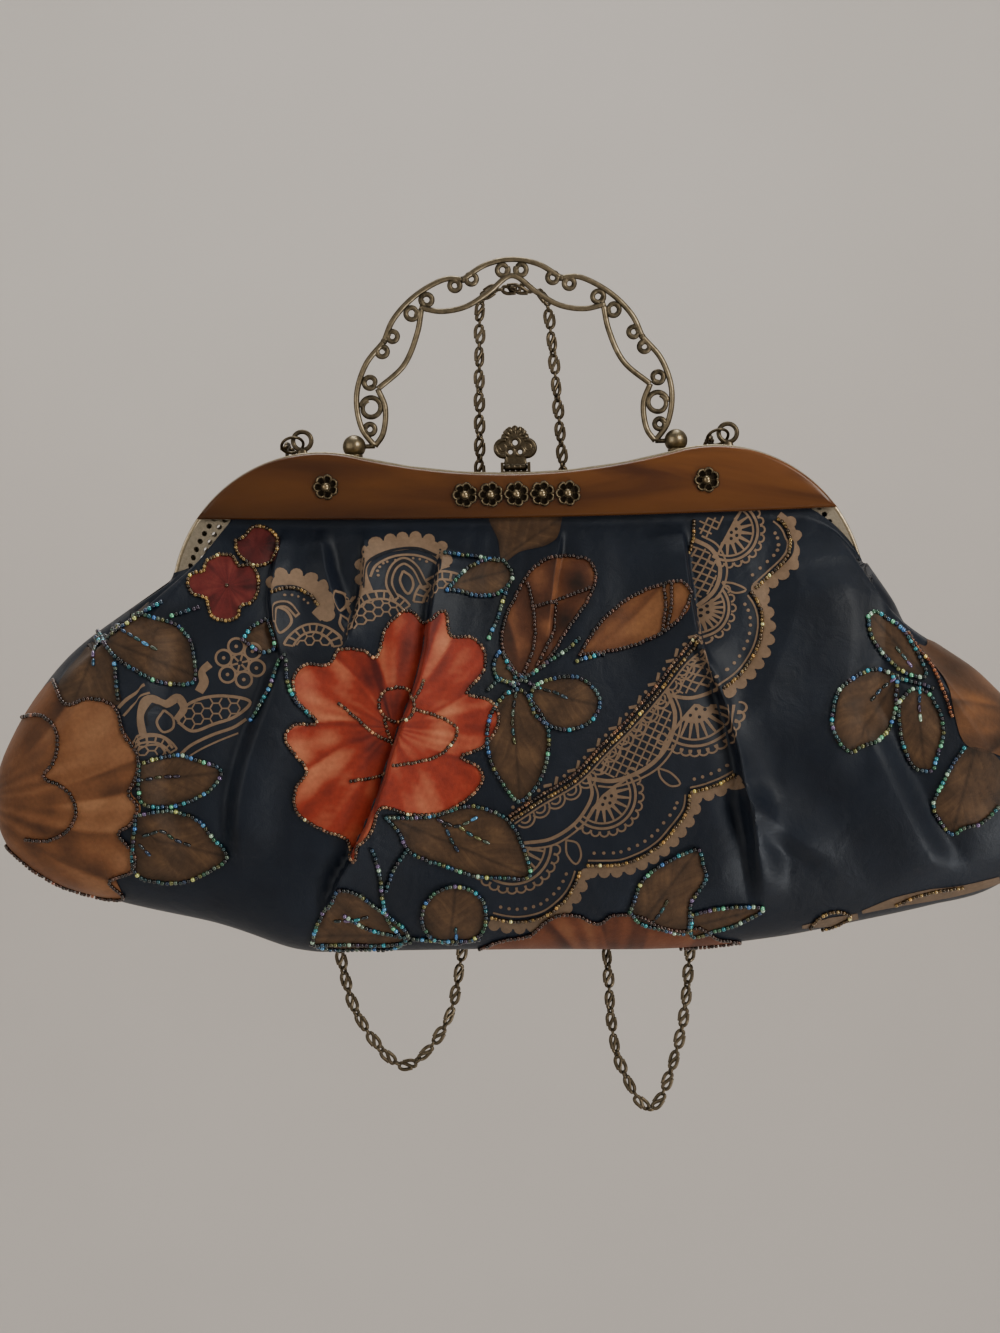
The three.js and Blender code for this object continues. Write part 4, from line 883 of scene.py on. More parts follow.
def cloth(u, a, side):
    """A point of the cloth's face at fan line u and fraction a of the way to the seam. Its depth is the
    frame's, fading towards the seam, plus a belly, the folds, and small gathers that die out below the
    frame."""
    belly, folds = (FRONT_BELLY, FRONT_FOLDS) if side < 0 else (BACK_BELLY, BACK_FOLDS)
    top, seam = frame_edge(u), seam_edge(u)
    place = top + (seam - top) * a[..., None] + fan_bow(u, a)
    swell = np.maximum(0, a - BELLY_START) / (1 - BELLY_START)
    bulge = swell**BELLY_RISE * np.sqrt(np.maximum(1 - swell, 0)) / BELLY_PEAK
    reach = np.minimum(1, np.linalg.norm(top - seam, axis=-1) / FAN_FULL_LENGTH)
    wrap = np.maximum(1 - a**2, 0) ** WRAP_ROUNDNESS
    held = smoothstep(a, *FOLDS_COME) * (1 - smoothstep(a, *FOLDS_GO))
    gather = np.sin(2 * np.pi * (GATHERS * u + 0.5 * np.sin(11 * u))) * smoothstep(a, 0.02, 0.09)
    gather = GATHER_DEPTH * gather * np.exp(-a / GATHER_REACH)
    gather = gather + SWAY * np.sin(9 * a + 31 * u) * np.sin(np.pi * a)
    relief = belly * bulge + held * fold_height(folds, place) + gather * np.sqrt(wrap)
    depth = CLOTH_TOP_DEPTH * wrap + reach * relief
    return np.stack([place[..., 0], side * np.maximum(depth, 0), place[..., 1]], axis=-1) + BAG


def straight_place(place):
    """Fan line and fraction of the way down for a place among straight fan lines. The line is found by
    halving, as the place lies to the right or left of it; the fraction is the place's share of the line's
    length."""
    low, high = np.full(place.shape[:-1], -1.0), np.full(place.shape[:-1], 1.0)
    for _ in range(26):
        u = (low + high) / 2
        top = frame_edge(u)
        run, off = seam_edge(u) - top, place - top
        right = run[..., 0] * off[..., 1] - run[..., 1] * off[..., 0] > 0
        low, high = np.where(right, u, low), np.where(right, high, u)
    return u, np.clip(np.sum(run * off, axis=-1) / np.sum(run * run, axis=-1), 0, 1)


def fan_place(x, z):
    """Fan line and fraction for a place of a wall: found among straight lines, then again at the two
    shoulders with the bow of the line just found taken off."""
    place = np.stack([x, z], axis=-1)
    u, a = straight_place(place)
    drawn = np.abs(u) > 0.8
    for _ in range(4):
        u[drawn], a[drawn] = straight_place(place[drawn] - fan_bow(u[drawn], a[drawn]))
    return u, a


def drawn_to_folds(u, a, folds):
    """Fan places moved towards the nearest crisp folds, so that the surface has more points where it turns
    over."""
    top = frame_edge(u)
    place = top + (seam_edge(u) - top) * a[..., None] + fan_bow(u, a)
    moved = place.copy()
    held = smoothstep(a, 0.02, 0.08) * (1 - smoothstep(a, 0.9, 0.97))
    for fold in folds:
        near = near_fold(fold, place, 3 * PULL_REACH)
        gap, way, strength = off_fold(fold, place[near])
        pull = PULL * gap * np.exp(-((gap / PULL_REACH) ** 2)) * smoothstep(strength, 0, 0.3) * held[near]
        moved[near] -= pull[..., None] * way
    shifted = np.any(moved != place, axis=-1)
    u, a = u.copy(), a.copy()
    u[shifted], a[shifted] = fan_place(moved[shifted][:, 0], moved[shifted][:, 1])
    return u, a


def fan_lines(count):
    """Fan lines spaced so that they meet the seam at equal distances along it."""
    u = np.linspace(-1, 1, 4000)
    walked = distances(seam_edge(u))
    return np.interp(np.linspace(0, walked[-1], count), walked, u)


def cloth_bump(tree, place):
    """A normal with the satin's fine weave on top of soft puckers a few millimetres wide."""
    pucker = noise(tree, place, Scale=130.0, Detail=3.0, Distortion=0.5)
    weave = noise(tree, place, Scale=2600.0, Detail=2.0)
    soft = add_node(tree, "ShaderNodeBump", Height=pucker, Strength=0.3, Distance=0.0012)
    fine = add_node(tree, "ShaderNodeBump", Height=weave, Strength=0.22, Distance=0.0002)
    fill_inputs(fine, Normal=soft.outputs["Normal"])
    return fine.outputs["Normal"]


satin, tree, shader = new_material("navy_satin_cloth")
place = object_place(tree)
wash = noise(tree, place, Scale=38.0, Detail=4.0, Roughness=0.6)
navy = colour_ramp(tree, wash, [(0.36, (0.0030, 0.0056, 0.0130)), (0.68, (0.0066, 0.0112, 0.0225))])
fill_inputs(shader, Base_Color=navy, Normal=cloth_bump(tree, place), Roughness=0.47, Specular_IOR_Level=0.37,
            Specular_Tint=(0.84, 0.92, 1.0, 1), Sheen_Weight=0.06, Sheen_Roughness=0.35,
            Sheen_Tint=(0.72, 0.85, 1.0, 1))

for name, side, folds, (columns, rows) in (
        ("cloth_front", -1, FRONT_FOLDS, FRONT_GRID), ("cloth_back", 1, BACK_FOLDS, BACK_GRID)):
    down = 1 - (1 - np.linspace(0, 1, rows)) ** 1.5
    u, a = drawn_to_folds(*np.meshgrid(fan_lines(columns), down, indexing="ij"), folds)
    wall = add_mesh(name + "_satin", [(cloth(u, a, side), quads(*u.shape))], satin, toward=(0, side, 0))
    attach(wall, "bag")
    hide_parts(name)

# Print: flowers, leaves and buds dyed into the satin of the front wall, in painterly streaks.
# Outlines are in picture points, as the camera sees the cloth; each lies on the cloth wherever that runs.
LAYER_LIFT, FAN_STEP, FAN_UNITS = 0.13, 0.002, (1000, 100)
# Most glows are the print's own lighter and darker patches; the dark ones at (406, 648) and (397, 703), just
# left of the orange flower's fold, are painted shade from that fold.
MOTIFS = [  # a glow is x, y, size and gain; a fan is in thousandths of the fan's half width
    # and hundredths of the way to the seam, for the flower that lies over the edge
    {"name": "orange_flower", "layer": 3, "beads": "copper", "centre": (392, 728),
     "tones": ((80, 16, 13), (148, 49, 30), (194, 120, 86)),
     "notches": [(444, 612), (452, 637), (467, 693), (461, 757), (374, 815), (307, 771), (317, 723),
         (334, 657), (376, 658)],
     "glow": [(306, 750, 34, 0.4), (342, 732, 18, 0.18), (344, 670, 24, 0.14), (448, 706, 13, 0.34),
         (432, 742, 20, 0.3), (420, 804, 16, 0.26), (458, 660, 20, 0.12), (406, 648, 20, -0.18),
         (482, 722, 20, -0.2), (397, 703, 15, -0.32), (364, 746, 18, -0.3), (330, 800, 22, -0.12),
         (362, 680, 16, -0.2)],
     "outline": [(403, 611), (412, 612), (424, 624), (444, 611), (451, 636), (471, 638), (484, 650),
         (483, 672), (467, 693), (490, 701), (499, 718), (485, 745), (461, 757), (478, 767), (483, 779),
         (466, 800), (439, 813), (410, 814), (381, 808), (371, 832), (359, 847), (353, 862), (346, 839),
         (325, 831), (306, 820), (296, 810), (296, 788), (307, 771), (291, 750), (285, 737), (294, 725),
         (317, 723), (296, 699), (294, 677), (306, 665), (328, 665), (340, 650), (364, 651), (376, 658),
         (386, 628)]},
    {"name": "tan_flower", "layer": 2, "beads": "brown", "open": 19, "centre": (72, 785), "root": (-30, 800),
     "tones": ((66, 40, 25), (121, 78, 48), (154, 110, 76)),
     "notches": [(67, 705), (138, 757), (129, 792), (119, 833), (110, 881)],
     "glow": [(95, 735, 30, 0.2), (80, 800, 26, 0.24), (104, 838, 20, 0.1), (40, 745, 26, -0.1),
         (48, 822, 24, -0.18), (55, 880, 30, -0.16), (118, 870, 18, 0.12), (62, 712, 14, -0.12)],
     "outline": [(54, 681), (67, 705), (89, 699), (115, 707), (124, 734), (138, 757), (135, 780), (129, 792),
         (138, 808), (131, 824), (119, 833), (135, 854), (133, 870), (110, 881), (124, 897), (99, 897),
         (67, 888), (32, 868), (5, 845), (-2, 812), (-1, 770), (18, 725)]},
    {"name": "red_flower", "layer": 2, "beads": "gold", "centre": (228, 586),
     "tones": ((60, 15, 18), (102, 33, 33), (130, 58, 52)),
     "notches": [(205, 560), (240, 566), (256, 590), (238, 608), (206, 600)],
     "glow": [(210, 585, 14, 0.1), (240, 590, 12, -0.14), (226, 608, 12, 0.08)],
     "outline": [(219, 555), (232, 556), (239, 566), (252, 566), (258, 578), (257, 594), (250, 604),
         (241, 606), (238, 617), (226, 621), (214, 618), (208, 606), (207, 599), (193, 594), (188, 584),
         (192, 574), (204, 571), (206, 562)]},
    {"name": "small_red_flower", "layer": 1, "beads": "gold", "centre": (257, 545),
     "tones": ((48, 11, 16), (84, 25, 27), (106, 44, 42)),
     "notches": [(244, 538), (270, 534), (276, 552)],
     "outline": [(236, 541), (246, 536), (253, 528), (265, 528), (276, 536), (278, 550), (270, 562),
         (256, 566), (244, 560), (237, 551)]},
    {"name": "bud_left", "layer": 2, "beads": "brown", "centre": (545, 612), "root": (520, 694),
     "tones": ((30, 17, 12), (84, 48, 30), (142, 92, 58)),
     "notches": [(556, 557), (588, 600), (506, 617)],
     "glow": [(543, 575, 15, 0.3), (577, 580, 18, -0.45), (567, 622, 16, -0.4), (546, 626, 8, 0.3),
         (520, 640, 16, 0.05), (593, 574, 8, 0.22)],
     "outline": [(518, 676), (502, 647), (506, 617), (517, 594), (527, 576), (541, 563), (556, 557),
         (574, 557), (590, 562), (596, 576), (588, 600), (568, 629), (547, 661), (530, 674)]},
    {"name": "bud_right", "layer": 2, "beads": "brown", "centre": (640, 618), "root": (562, 668),
     "tones": ((64, 38, 25), (112, 70, 42), (140, 96, 60)),
     "notches": [(662, 586), (668, 629)],
     "glow": [(650, 612, 24, 0.2), (610, 640, 20, -0.05), (682, 595, 10, 0.22)],
     "outline": [(580, 655), (592, 634), (606, 617), (632, 597), (662, 585), (682, 582), (690, 591),
         (685, 611), (668, 629), (638, 644), (606, 652)]},
    {"name": "edge_flower", "layer": 2, "beads": "brown", "open": 16, "centre": (600, 936),
     "root": (610, 1010), "tones": ((58, 27, 18), (106, 58, 36), (134, 88, 58)),
     "notches": [(545, 918), (600, 922), (650, 924), (700, 932)],
     "outline": [(480, 948), (500, 940), (530, 934), (548, 919), (566, 914), (580, 916), (598, 923),
         (612, 915), (640, 916), (660, 926), (684, 930), (700, 927), (718, 938), (740, 942), (730, 950),
         (680, 952), (600, 953), (520, 953)]},
    {"name": "right_flower", "layer": 3, "beads": None, "centre": (985, 700), "root": (1050, 730),
     "middle": (905, 75), "tones": ((44, 29, 19), (84, 57, 38), (132, 88, 54)),
     "notches": [(965, 700), (1003, 745)],
     "glow": [(975, 715, 26, 0.35), (950, 665, 24, -0.25)],
     "fan": [(930, 50), (942, 60), (955, 72), (961, 85), (962, 97), (950, 98), (935, 98), (918, 98),
         (904, 96), (892, 86), (880, 77), (868, 71), (860, 69), (843, 63), (850, 58), (868, 53),
         (892, 49.5)]},
]
LEAVES = [
    {"name": "leaf_upper_left", "axis": ((101, 638), (195, 676)), "layer": 3,
     "outline": [(101, 638), (118, 624), (135, 615), (161, 620), (179, 627), (190, 640), (195, 661),
         (194, 682), (158, 682), (138, 672), (115, 656)]},
    {"name": "leaf_corner", "axis": ((99, 640), (75, 700)), "layer": 1, "beads": None,
     "outline": [(101, 638), (112, 655), (117, 680), (119, 704), (92, 702), (68, 707), (57, 692), (68, 669),
         (86, 651)]},
    {"name": "leaf_middle_left", "axis": ((138, 782), (221, 772)), "layer": 3,
     "outline": [(139, 764), (160, 758), (179, 755), (202, 762), (221, 770), (213, 787), (190, 801),
         (165, 807), (142, 802)]},
    {"name": "leaf_lower_left", "axis": ((134, 832), (228, 857)), "layer": 3,
     "outline": [(136, 815), (155, 812), (172, 811), (197, 819), (213, 838), (228, 857), (207, 872),
         (184, 881), (161, 881), (136, 872)]},
    {"name": "leaf_bud", "axis": ((242, 636), (275, 622)), "layer": 1,
     "outline": [(243, 640), (252, 628), (268, 620), (274, 634), (276, 648), (260, 652)]},
    {"name": "leaf_top", "axis": ((450, 585), (512, 570)), "layer": 3,
     "outline": [(447, 590), (462, 573), (480, 563), (500, 560), (512, 572), (510, 584), (497, 594),
         (478, 596), (462, 592)]},
    {"name": "leaf_behind_panel", "axis": ((500, 560), (555, 522)), "layer": 1, "beads": None,
     "outline": [(490, 516), (560, 512), (559, 530), (545, 545), (520, 552), (503, 562), (498, 540)]},
    {"name": "leaf_bud_cup", "axis": ((520, 680), (500, 650)), "layer": 3,
     "outline": [(518, 684), (508, 682), (496, 677), (494, 664), (500, 652), (507, 662), (514, 675)]},
    {"name": "leaf_round", "axis": ((531, 690), (600, 706)), "layer": 3,
     "outline": [(530, 700), (534, 688), (550, 680), (574, 677), (591, 686), (600, 702), (593, 719),
         (575, 729), (552, 727), (536, 716)]},
    {"name": "leaf_long", "axis": ((512, 690), (520, 801)), "layer": 2,
     "outline": [(505, 694), (492, 712), (487, 735), (490, 758), (500, 779), (519, 801), (539, 782),
         (547, 758), (548, 730), (534, 704), (520, 690)]},
    {"name": "leaf_under_flower", "axis": ((400, 822), (529, 876)), "layer": 2,
     "outline": [(386, 817), (400, 834), (405, 846), (415, 855), (447, 866), (478, 876), (505, 877),
         (529, 876), (524, 850), (510, 822), (490, 810), (466, 806), (430, 816)]},
    {"name": "leaf_bottom_left", "axis": ((395, 935), (318, 935)), "layer": 2,
     "outline": [(312, 943), (318, 922), (330, 905), (338, 890), (356, 893), (372, 904), (392, 918),
         (408, 934), (396, 946), (360, 948), (330, 948)]},
    {"name": "leaf_bottom", "axis": ((450, 938), (456, 887)), "layer": 2,
     "outline": [(432, 938), (423, 924), (424, 906), (436, 892), (452, 886), (470, 889), (483, 900),
         (486, 918), (480, 934), (458, 942)]},
    {"name": "leaf_bottom_right", "axis": ((640, 925), (698, 849)), "layer": 3,
     "outline": [(630, 911), (644, 878), (668, 861), (684, 853), (698, 849), (703, 864), (706, 878),
         (691, 902), (687, 931), (660, 928), (640, 922)]},
    {"name": "leaf_sprig", "axis": ((695, 925), (764, 908)), "layer": 2,
     "outline": [(692, 914), (712, 909), (738, 906), (764, 908), (748, 918), (735, 924), (715, 930),
         (692, 935)]},
    {"name": "leaf_right_top", "axis": ((925, 676), (868, 612)), "layer": 3,
     "outline": [(867, 617), (874, 612), (888, 619), (902, 629), (916, 650), (926, 676), (905, 673),
         (881, 652), (870, 635)]},
    {"name": "leaf_right_left", "axis": ((897, 678), (849, 752)), "layer": 3,
     "outline": [(897, 676), (875, 669), (852, 679), (837, 694), (833, 713), (833, 729), (849, 752),
         (862, 746), (878, 740), (893, 720)]},
    {"name": "leaf_right_low", "axis": ((916, 690), (925, 770)), "layer": 3,
     "outline": [(899, 702), (899, 722), (902, 740), (907, 756), (914, 767), (931, 770), (938, 752),
         (943, 735), (940, 714), (925, 691), (911, 690)]},
    {"name": "leaf_right_edge", "axis": ((975, 750), (952, 833)), "layer": 3, "open": 9,
     "outline": [(964, 748), (950, 768), (943, 782), (933, 805), (940, 822), (952, 833), (964, 827),
         (980, 823), (1000, 805), (1006, 775), (990, 752)]},
]
LEAF_TONES = ((36, 26, 19), (76, 56, 39), (118, 90, 62))


def linear(tone):
    """Display colour, 0 to 255, as linear light."""
    tone = np.asarray(tone, float) / 255
    return np.where(tone <= 0.04045, tone / 12.92, ((tone + 0.055) / 1.055) ** 2.4)


def lifted(u, a, lift):
    """Points of the front wall at fan places, moved off its face along the normal."""
    sideways = cloth(u + FAN_STEP, a, -1) - cloth(u - FAN_STEP, a, -1)
    down = cloth(u, np.minimum(a + FAN_STEP, 1), -1) - cloth(u, a - FAN_STEP, -1)
    out = np.cross(down, sideways)
    return cloth(u, a, -1) + np.asarray(lift)[..., None] * out / np.linalg.norm(out, axis=-1, keepdims=True)


def in_picture(points):
    """The picture points at which points of the bag are seen."""
    off = points - CAMERA_AT
    scale = CAMERA_DISTANCE / off[..., 1] / POINT_MM
    return np.stack([PICTURE[0] / 2 + (off @ RIGHT) * scale, PICTURE[1] / 2 - (off @ UP) * scale], axis=-1)


def on_front(picture, lift, drawn=False):
    """The front wall's points seen at picture points, lifted off its face. Each sight line is followed from
    the camera to the wall in a few rounds: the wall's depth there gives the next place along the line."""
    plane = sight(picture)
    share = np.full(plane.shape[:-1], SIGHT_SHARE)
    for _ in range(4):
        place = CAMERA_AT + share[..., None] * (plane - CAMERA_AT) - BAG
        u, a = fan_place(place[..., 0], place[..., 2])
        share = (cloth(u, a, -1)[..., 1] - CAMERA_AT[1]) / CAMERA_DISTANCE
    a = np.clip(a, FAN_STEP, 1 - FAN_STEP)
    u = np.clip(u, FAN_STEP - 1, 1 - FAN_STEP)
    if drawn:
        u, a = drawn_to_folds(u, a, FRONT_FOLDS)
    return lifted(u, a, lift)


def wander(x, seed, count=5):
    """A smooth uneven value between about -1 and 1: a few waves of growing number with chance phases."""
    chance = np.random.default_rng(seed)
    waves = np.arange(1, count + 1)
    return sum(np.sin(w * x + chance.uniform(0, 6.28)) / w**0.6 for w in waves * 2.3) / 2.2


def fill(outline, centre, rings):
    """A grid of picture points from a centre out to a smooth closed outline."""
    edge = smooth_path(outline, 2.2, closed=True)
    r = np.linspace(0, 1, rings)[:, None, None]
    return np.asarray(centre, float) + r * (edge[None] - np.asarray(centre, float))


def mixed(tones, amount):
    """Colour between three tones as the amount runs from 0 to 1."""
    deep, middle, light = (linear(tone) for tone in tones)
    amount = np.clip(amount, 0, 1)[..., None]
    lower, upper = deep + (middle - deep) * 2 * amount, middle + (light - middle) * (2 * amount - 1)
    rgb = np.where(amount < 0.5, lower, upper)
    return np.concatenate([rgb, np.ones_like(amount)], axis=-1)


def cloudy(points, size, seed):
    """A smooth uneven value between about -1 and 1 over picture points: nine waves of about one size, which
    run in chance directions."""
    chance = np.random.default_rng(seed)
    lean, pace, start = chance.uniform(0, 6.28, 9), chance.uniform(0.7, 1.5, 9), chance.uniform(0, 6.28, 9)
    return sum(np.sin(6.28 * p / size * (points[..., 0] * math.cos(t) + points[..., 1] * math.sin(t)) + s)
               for t, p, s in zip(lean, pace, start)) / 4.5


def petals(grid, row, seed):
    """Petals painted in soft patches: streaks run out from a root, each glow lightens or deepens a round
    patch, and a shadow with a light edge beside it runs from each notch of the outline towards the root,
    where one petal lies on the next."""
    root = np.asarray(row.get("root", row["centre"]), float)
    off = grid - root
    reach = np.linalg.norm(off, axis=-1)
    r = (reach - reach.min()) / (reach.max() - reach.min())
    ray = 40 * off / np.maximum(reach, 1e-6)[..., None]
    amount = 0.42 + 0.14 * r + 0.15 * cloudy(ray + 0.06 * grid, 11, seed)
    amount = amount + 0.10 * cloudy(grid, 36, seed + 1) + 0.035 * cloudy(grid, 10, seed + 2)
    # Glows: the print's own light and dark patches, and painted shade beside the orange flower's fold.
    for x, y, size, gain in row.get("glow", ()):
        amount = amount + gain * np.exp(-((grid[..., 0] - x) ** 2 + (grid[..., 1] - y) ** 2) / size**2)
    for k, notch in enumerate(row["notches"]):
        span = math.dist(notch, root)
        line = math.atan2(notch[1] - root[1], notch[0] - root[0]) + 0.22 * (1 - reach / span)
        turn = np.arctan2(off[..., 1], off[..., 0]) - line
        beside = reach * np.sin(turn) * (1 if k % 2 else -1)
        near = (np.cos(turn) > 0) * smoothstep(reach / span, 0.3, 0.8)
        under = 0.5 + 0.5 * np.tanh(beside / 1.8)
        amount = amount - near * 0.48 * np.exp(-np.abs(beside) / 9) * under
        amount = amount + near * 0.22 * np.exp(-np.abs(beside) / 12) * (1 - under)
    return mixed(row["tones"], amount)


def leaf_paint(grid, axis, seed):
    """A leaf painted along its axis in soft patches: a dark midrib, faint streaks that slant off it, and a
    dark edge."""
    base, tip = np.asarray(axis, float)
    run = (tip - base) / np.linalg.norm(tip - base)
    along = (grid - base) @ run / np.linalg.norm(tip - base)
    aside = (grid - base) @ np.array([-run[1], run[0]])
    slant = along * 13 - np.abs(aside) / 5 + 0.5 * cloudy(grid, 40, seed)
    amount = 0.44 + 0.10 * along + 0.15 * cloudy(grid, 36, seed + 1) + 0.05 * cloudy(grid, 9, seed + 2)
    amount = amount + 0.17 * wander(slant, seed + 3, 7) - 0.26 * np.exp(-((aside / 1.6) ** 2))
    amount = amount - 0.26 * smoothstep(np.linspace(0, 1, len(grid))[:, None], 0.68, 1.0)
    return mixed(LEAF_TONES, amount)


def dyed(tree, place, low, high, **grain):
    """The tint of each point, made lighter and darker by fine noise."""
    tint = add_node(tree, "ShaderNodeAttribute", attribute_name="tint").outputs["Color"]
    return scaled(tree, tint, spread(tree, noise(tree, place, **grain), low, high))


printed, tree, shader = new_material("printed_satin")
place = object_place(tree)
fill_inputs(shader, Base_Color=dyed(tree, place, 0.72, 1.22, Scale=900.0, Detail=4.0),
            Normal=cloth_bump(tree, place), Roughness=0.55, Specular_IOR_Level=0.3, Sheen_Weight=0.05)

for name, rows, rings in (("printed_flowers", MOTIFS, 40), ("printed_leaves", LEAVES, 18)):
    parts, tints = [], []
    for seed, row in enumerate(rows):
        if "fan" in row:
            fan = fill(row["fan"], row["middle"], rings) / FAN_UNITS
            body = lifted(fan[..., 0], fan[..., 1], LAYER_LIFT * row["layer"])
            grid = in_picture(body)
        else:
            grid = fill(row["outline"], row.get("centre", np.mean(row["outline"], axis=0)), rings)
            body = on_front(grid, LAYER_LIFT * row["layer"], drawn=True)
        parts.append((body, quads(*grid.shape[:2], wrap_columns=True)))
        leaf = "axis" in row
        paint = leaf_paint(grid, row["axis"], 500 + 10 * seed) if leaf else petals(grid, row, 10 * seed)
        tints.append(paint.reshape(-1, 4))
    piece = add_mesh(name, parts, printed, toward=(0, -1, 0), attributes={"tint": np.concatenate(tints)})
    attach(piece, "bag")

# Beadwork: seed beads couched in rows round every motif, and longer bugle beads along the veins.
# Each bead is threaded lengthwise along its row and rests on the cloth; colours vary bead by bead, and a
# share of the beads is tinted several times brighter as a painted glint.
SEED_BEAD = np.array((0.74, 0.66, 1.34))  # radius, half its length, and pitch along the thread
BUGLE_BEAD = np.array((0.56, 1.25, 2.75))
BEAD_REST, BEAD_STRAY, THREAD_STEP = 0.8, 0.07, 0.4
BEAD_GLINT_GAIN, BEAD_GLOW, BEAD_BRIGHTEST = 3.4, (0.12, 0.95), 0.85
BEAD_RINGS, BEAD_SIDES = 6, 8
BEAD_SCALE = {"iris": 1.0, "gold": 0.86, "brown": 0.9, "copper": 0.82, "amber": 0.9}
BEAD_GLINT_SHARE = {"iris": 0.2, "gold": 0.06, "brown": 0.02, "copper": 0.06, "amber": 0.08}
BEAD_TONES = {
    "iris": [(28, 104, 118), (36, 72, 112), (66, 122, 96), (120, 126, 76), (66, 56, 82), (26, 84, 92),
             (48, 92, 124), (26, 40, 48), (34, 52, 54), (104, 126, 112)],
    "gold": [(158, 126, 66), (116, 90, 48), (186, 156, 96), (96, 74, 44)],
    "brown": [(62, 36, 29), (80, 48, 38), (48, 29, 26), (100, 66, 52)],
    "copper": [(140, 98, 68), (104, 72, 50), (172, 138, 104), (84, 58, 43)],
    "amber": [(166, 92, 44), (136, 70, 32), (190, 120, 66)],
}
STRINGS = {  # bead rows by colour, in picture points
    "copper": {
        "flower heart": [(396, 687), (408, 690), (414, 702), (411, 716), (399, 722), (386, 718), (379, 706),
            (384, 692), (396, 687)],
        "flower left stamen": [(339, 704), (356, 718), (376, 735), (391, 742)],
        "flower heart to stamen": [(384, 720), (388, 734), (394, 746)],
        "flower inner petal": [(413, 709), (430, 714), (444, 719), (457, 730), (449, 747), (435, 757),
            (417, 762), (392, 766)],
        "flower low stamen": [(351, 781), (370, 778), (387, 774)],
        "flower heart to fold": [(414, 700), (420, 690), (424, 678)],
        "lace upper edge two": [(510, 815), (536, 798), (573, 775), (599, 748), (628, 719), (658, 684),
            (681, 654), (696, 637)],
    },
    "brown": {
        "tan inner petal": [(22, 718), (41, 716), (54, 726), (58, 742), (54, 762), (44, 777), (60, 785),
            (73, 798), (76, 814), (68, 830), (48, 840), (27, 839)],
        "bud inner left": [(528, 584), (532, 600), (535, 625), (533, 650), (524, 672)],
        "bud inner cross": [(536, 607), (552, 602), (570, 596), (590, 588)],
        "bud inner low": [(556, 604), (553, 628), (545, 650), (536, 668)],
        "right bud cross": [(664, 587), (666, 604), (663, 630)],
        "right bud cross two": [(672, 585), (672, 604), (668, 626)],
    },
    "iris": {
        "left corner string": [(95, 643), (108, 638), (123, 628), (146, 612), (163, 602)],
        "left corner drop": [(115, 664), (117, 684), (119, 702)],
        "stem to red flower": [(172, 616), (186, 612), (202, 606)],
        "top stem": [(445, 554), (462, 556), (480, 558), (500, 562)],
        "stem past flower": [(508, 586), (502, 604), (497, 620), (488, 640)],
        "side stem": [(284, 655), (277, 668), (272, 684), (264, 700), (254, 718), (249, 722)],
        "flower side stem": [(286, 662), (287, 680), (295, 700), (310, 716)],
        "knot": [(514, 686), (522, 680), (532, 674), (546, 664), (558, 656), (572, 646), (582, 636)],
        "knot twig": [(488, 690), (500, 680), (512, 684), (524, 676)],
        "knot cross": [(508, 668), (520, 676), (530, 684), (540, 688)],
        "bud foot": [(577, 661), (590, 657), (604, 654)],
        "low twig": [(372, 850), (379, 872), (382, 896), (388, 920), (400, 934)],
        "low twig two": [(405, 852), (392, 872), (386, 890)],
        "low sprig": [(345, 915), (368, 928), (392, 934), (420, 938), (452, 940), (480, 938)],
        "low edge": [(318, 944), (350, 943), (380, 944), (410, 941)],
        "right knot": [(893, 677), (908, 681), (922, 684), (936, 690)],
    },
    "amber": {
        "right stem": [(908, 634), (919, 650), (930, 664), (938, 678), (946, 698), (952, 717)],
    },
    "gold": {
        "edge lace left": [(810, 927), (822, 915), (840, 911), (850, 916), (838, 924), (820, 930)],
        "edge lace right": [(896, 904), (916, 896), (940, 890), (962, 887)],
        "lace upper edge": [(512, 820), (539, 802), (577, 779), (603, 752), (632, 723), (662, 688),
            (685, 658), (700, 641)],
        "red flower heart": [(227, 586), (230, 587)],
        "lace scallop one": [(492, 917), (505, 920), (518, 921), (533, 919), (547, 914), (558, 906),
            (568, 896), (576, 882), (580, 870)],
        "lace scallop two": [(588, 865), (604, 865), (621, 864), (636, 859), (650, 852), (663, 842),
            (674, 829), (682, 819), (688, 808), (690, 793)],
        "lace scallop three": [(691, 792), (704, 789), (715, 785), (726, 780), (736, 773)],
        "lace scallop four": [(724, 688), (734, 680), (744, 670), (753, 657), (759, 644), (762, 630),
            (762, 617), (758, 603), (750, 591)],
        "lace scallop five": [(756, 588), (766, 579), (776, 570), (784, 562), (789, 553), (790, 542),
            (788, 532), (783, 524), (776, 518)],
        "lace top edge": [(694, 522), (693, 540), (689, 556)],
        "left crescent": [(272, 592), (285, 588), (300, 590), (311, 596), (319, 606)],
    },
}
VEINS = {  # bugle beads by leaf, in picture points
    "upper left": [(117, 627), (138, 640), (161, 652)],
    "corner": [(95, 650), (94, 665)],
    "middle left": [(140, 780), (160, 777), (181, 776)],
    "lower left": [(146, 835), (162, 831), (174, 839), (190, 845)],
    "lower left two": [(142, 846), (152, 856)],
    "under flower": [(440, 820), (456, 826), (480, 816)],
    "under flower two": [(444, 824), (450, 838), (458, 851)],
    "under flower three": [(462, 828), (474, 836), (487, 842)],
    "long": [(516, 695), (513, 715), (513, 732), (516, 748)],
    "round": [(538, 688), (553, 692), (567, 698)],
    "bottom left": [(338, 920), (356, 919), (372, 914)],
    "bottom": [(456, 936), (456, 924)],
    "bottom right": [(652, 922), (662, 910), (668, 898)],
    "right top": [(898, 650), (906, 660), (914, 670)],
    "right left": [(893, 680), (880, 690), (868, 702)],
    "right low": [(920, 690), (919, 706), (921, 724)],
}


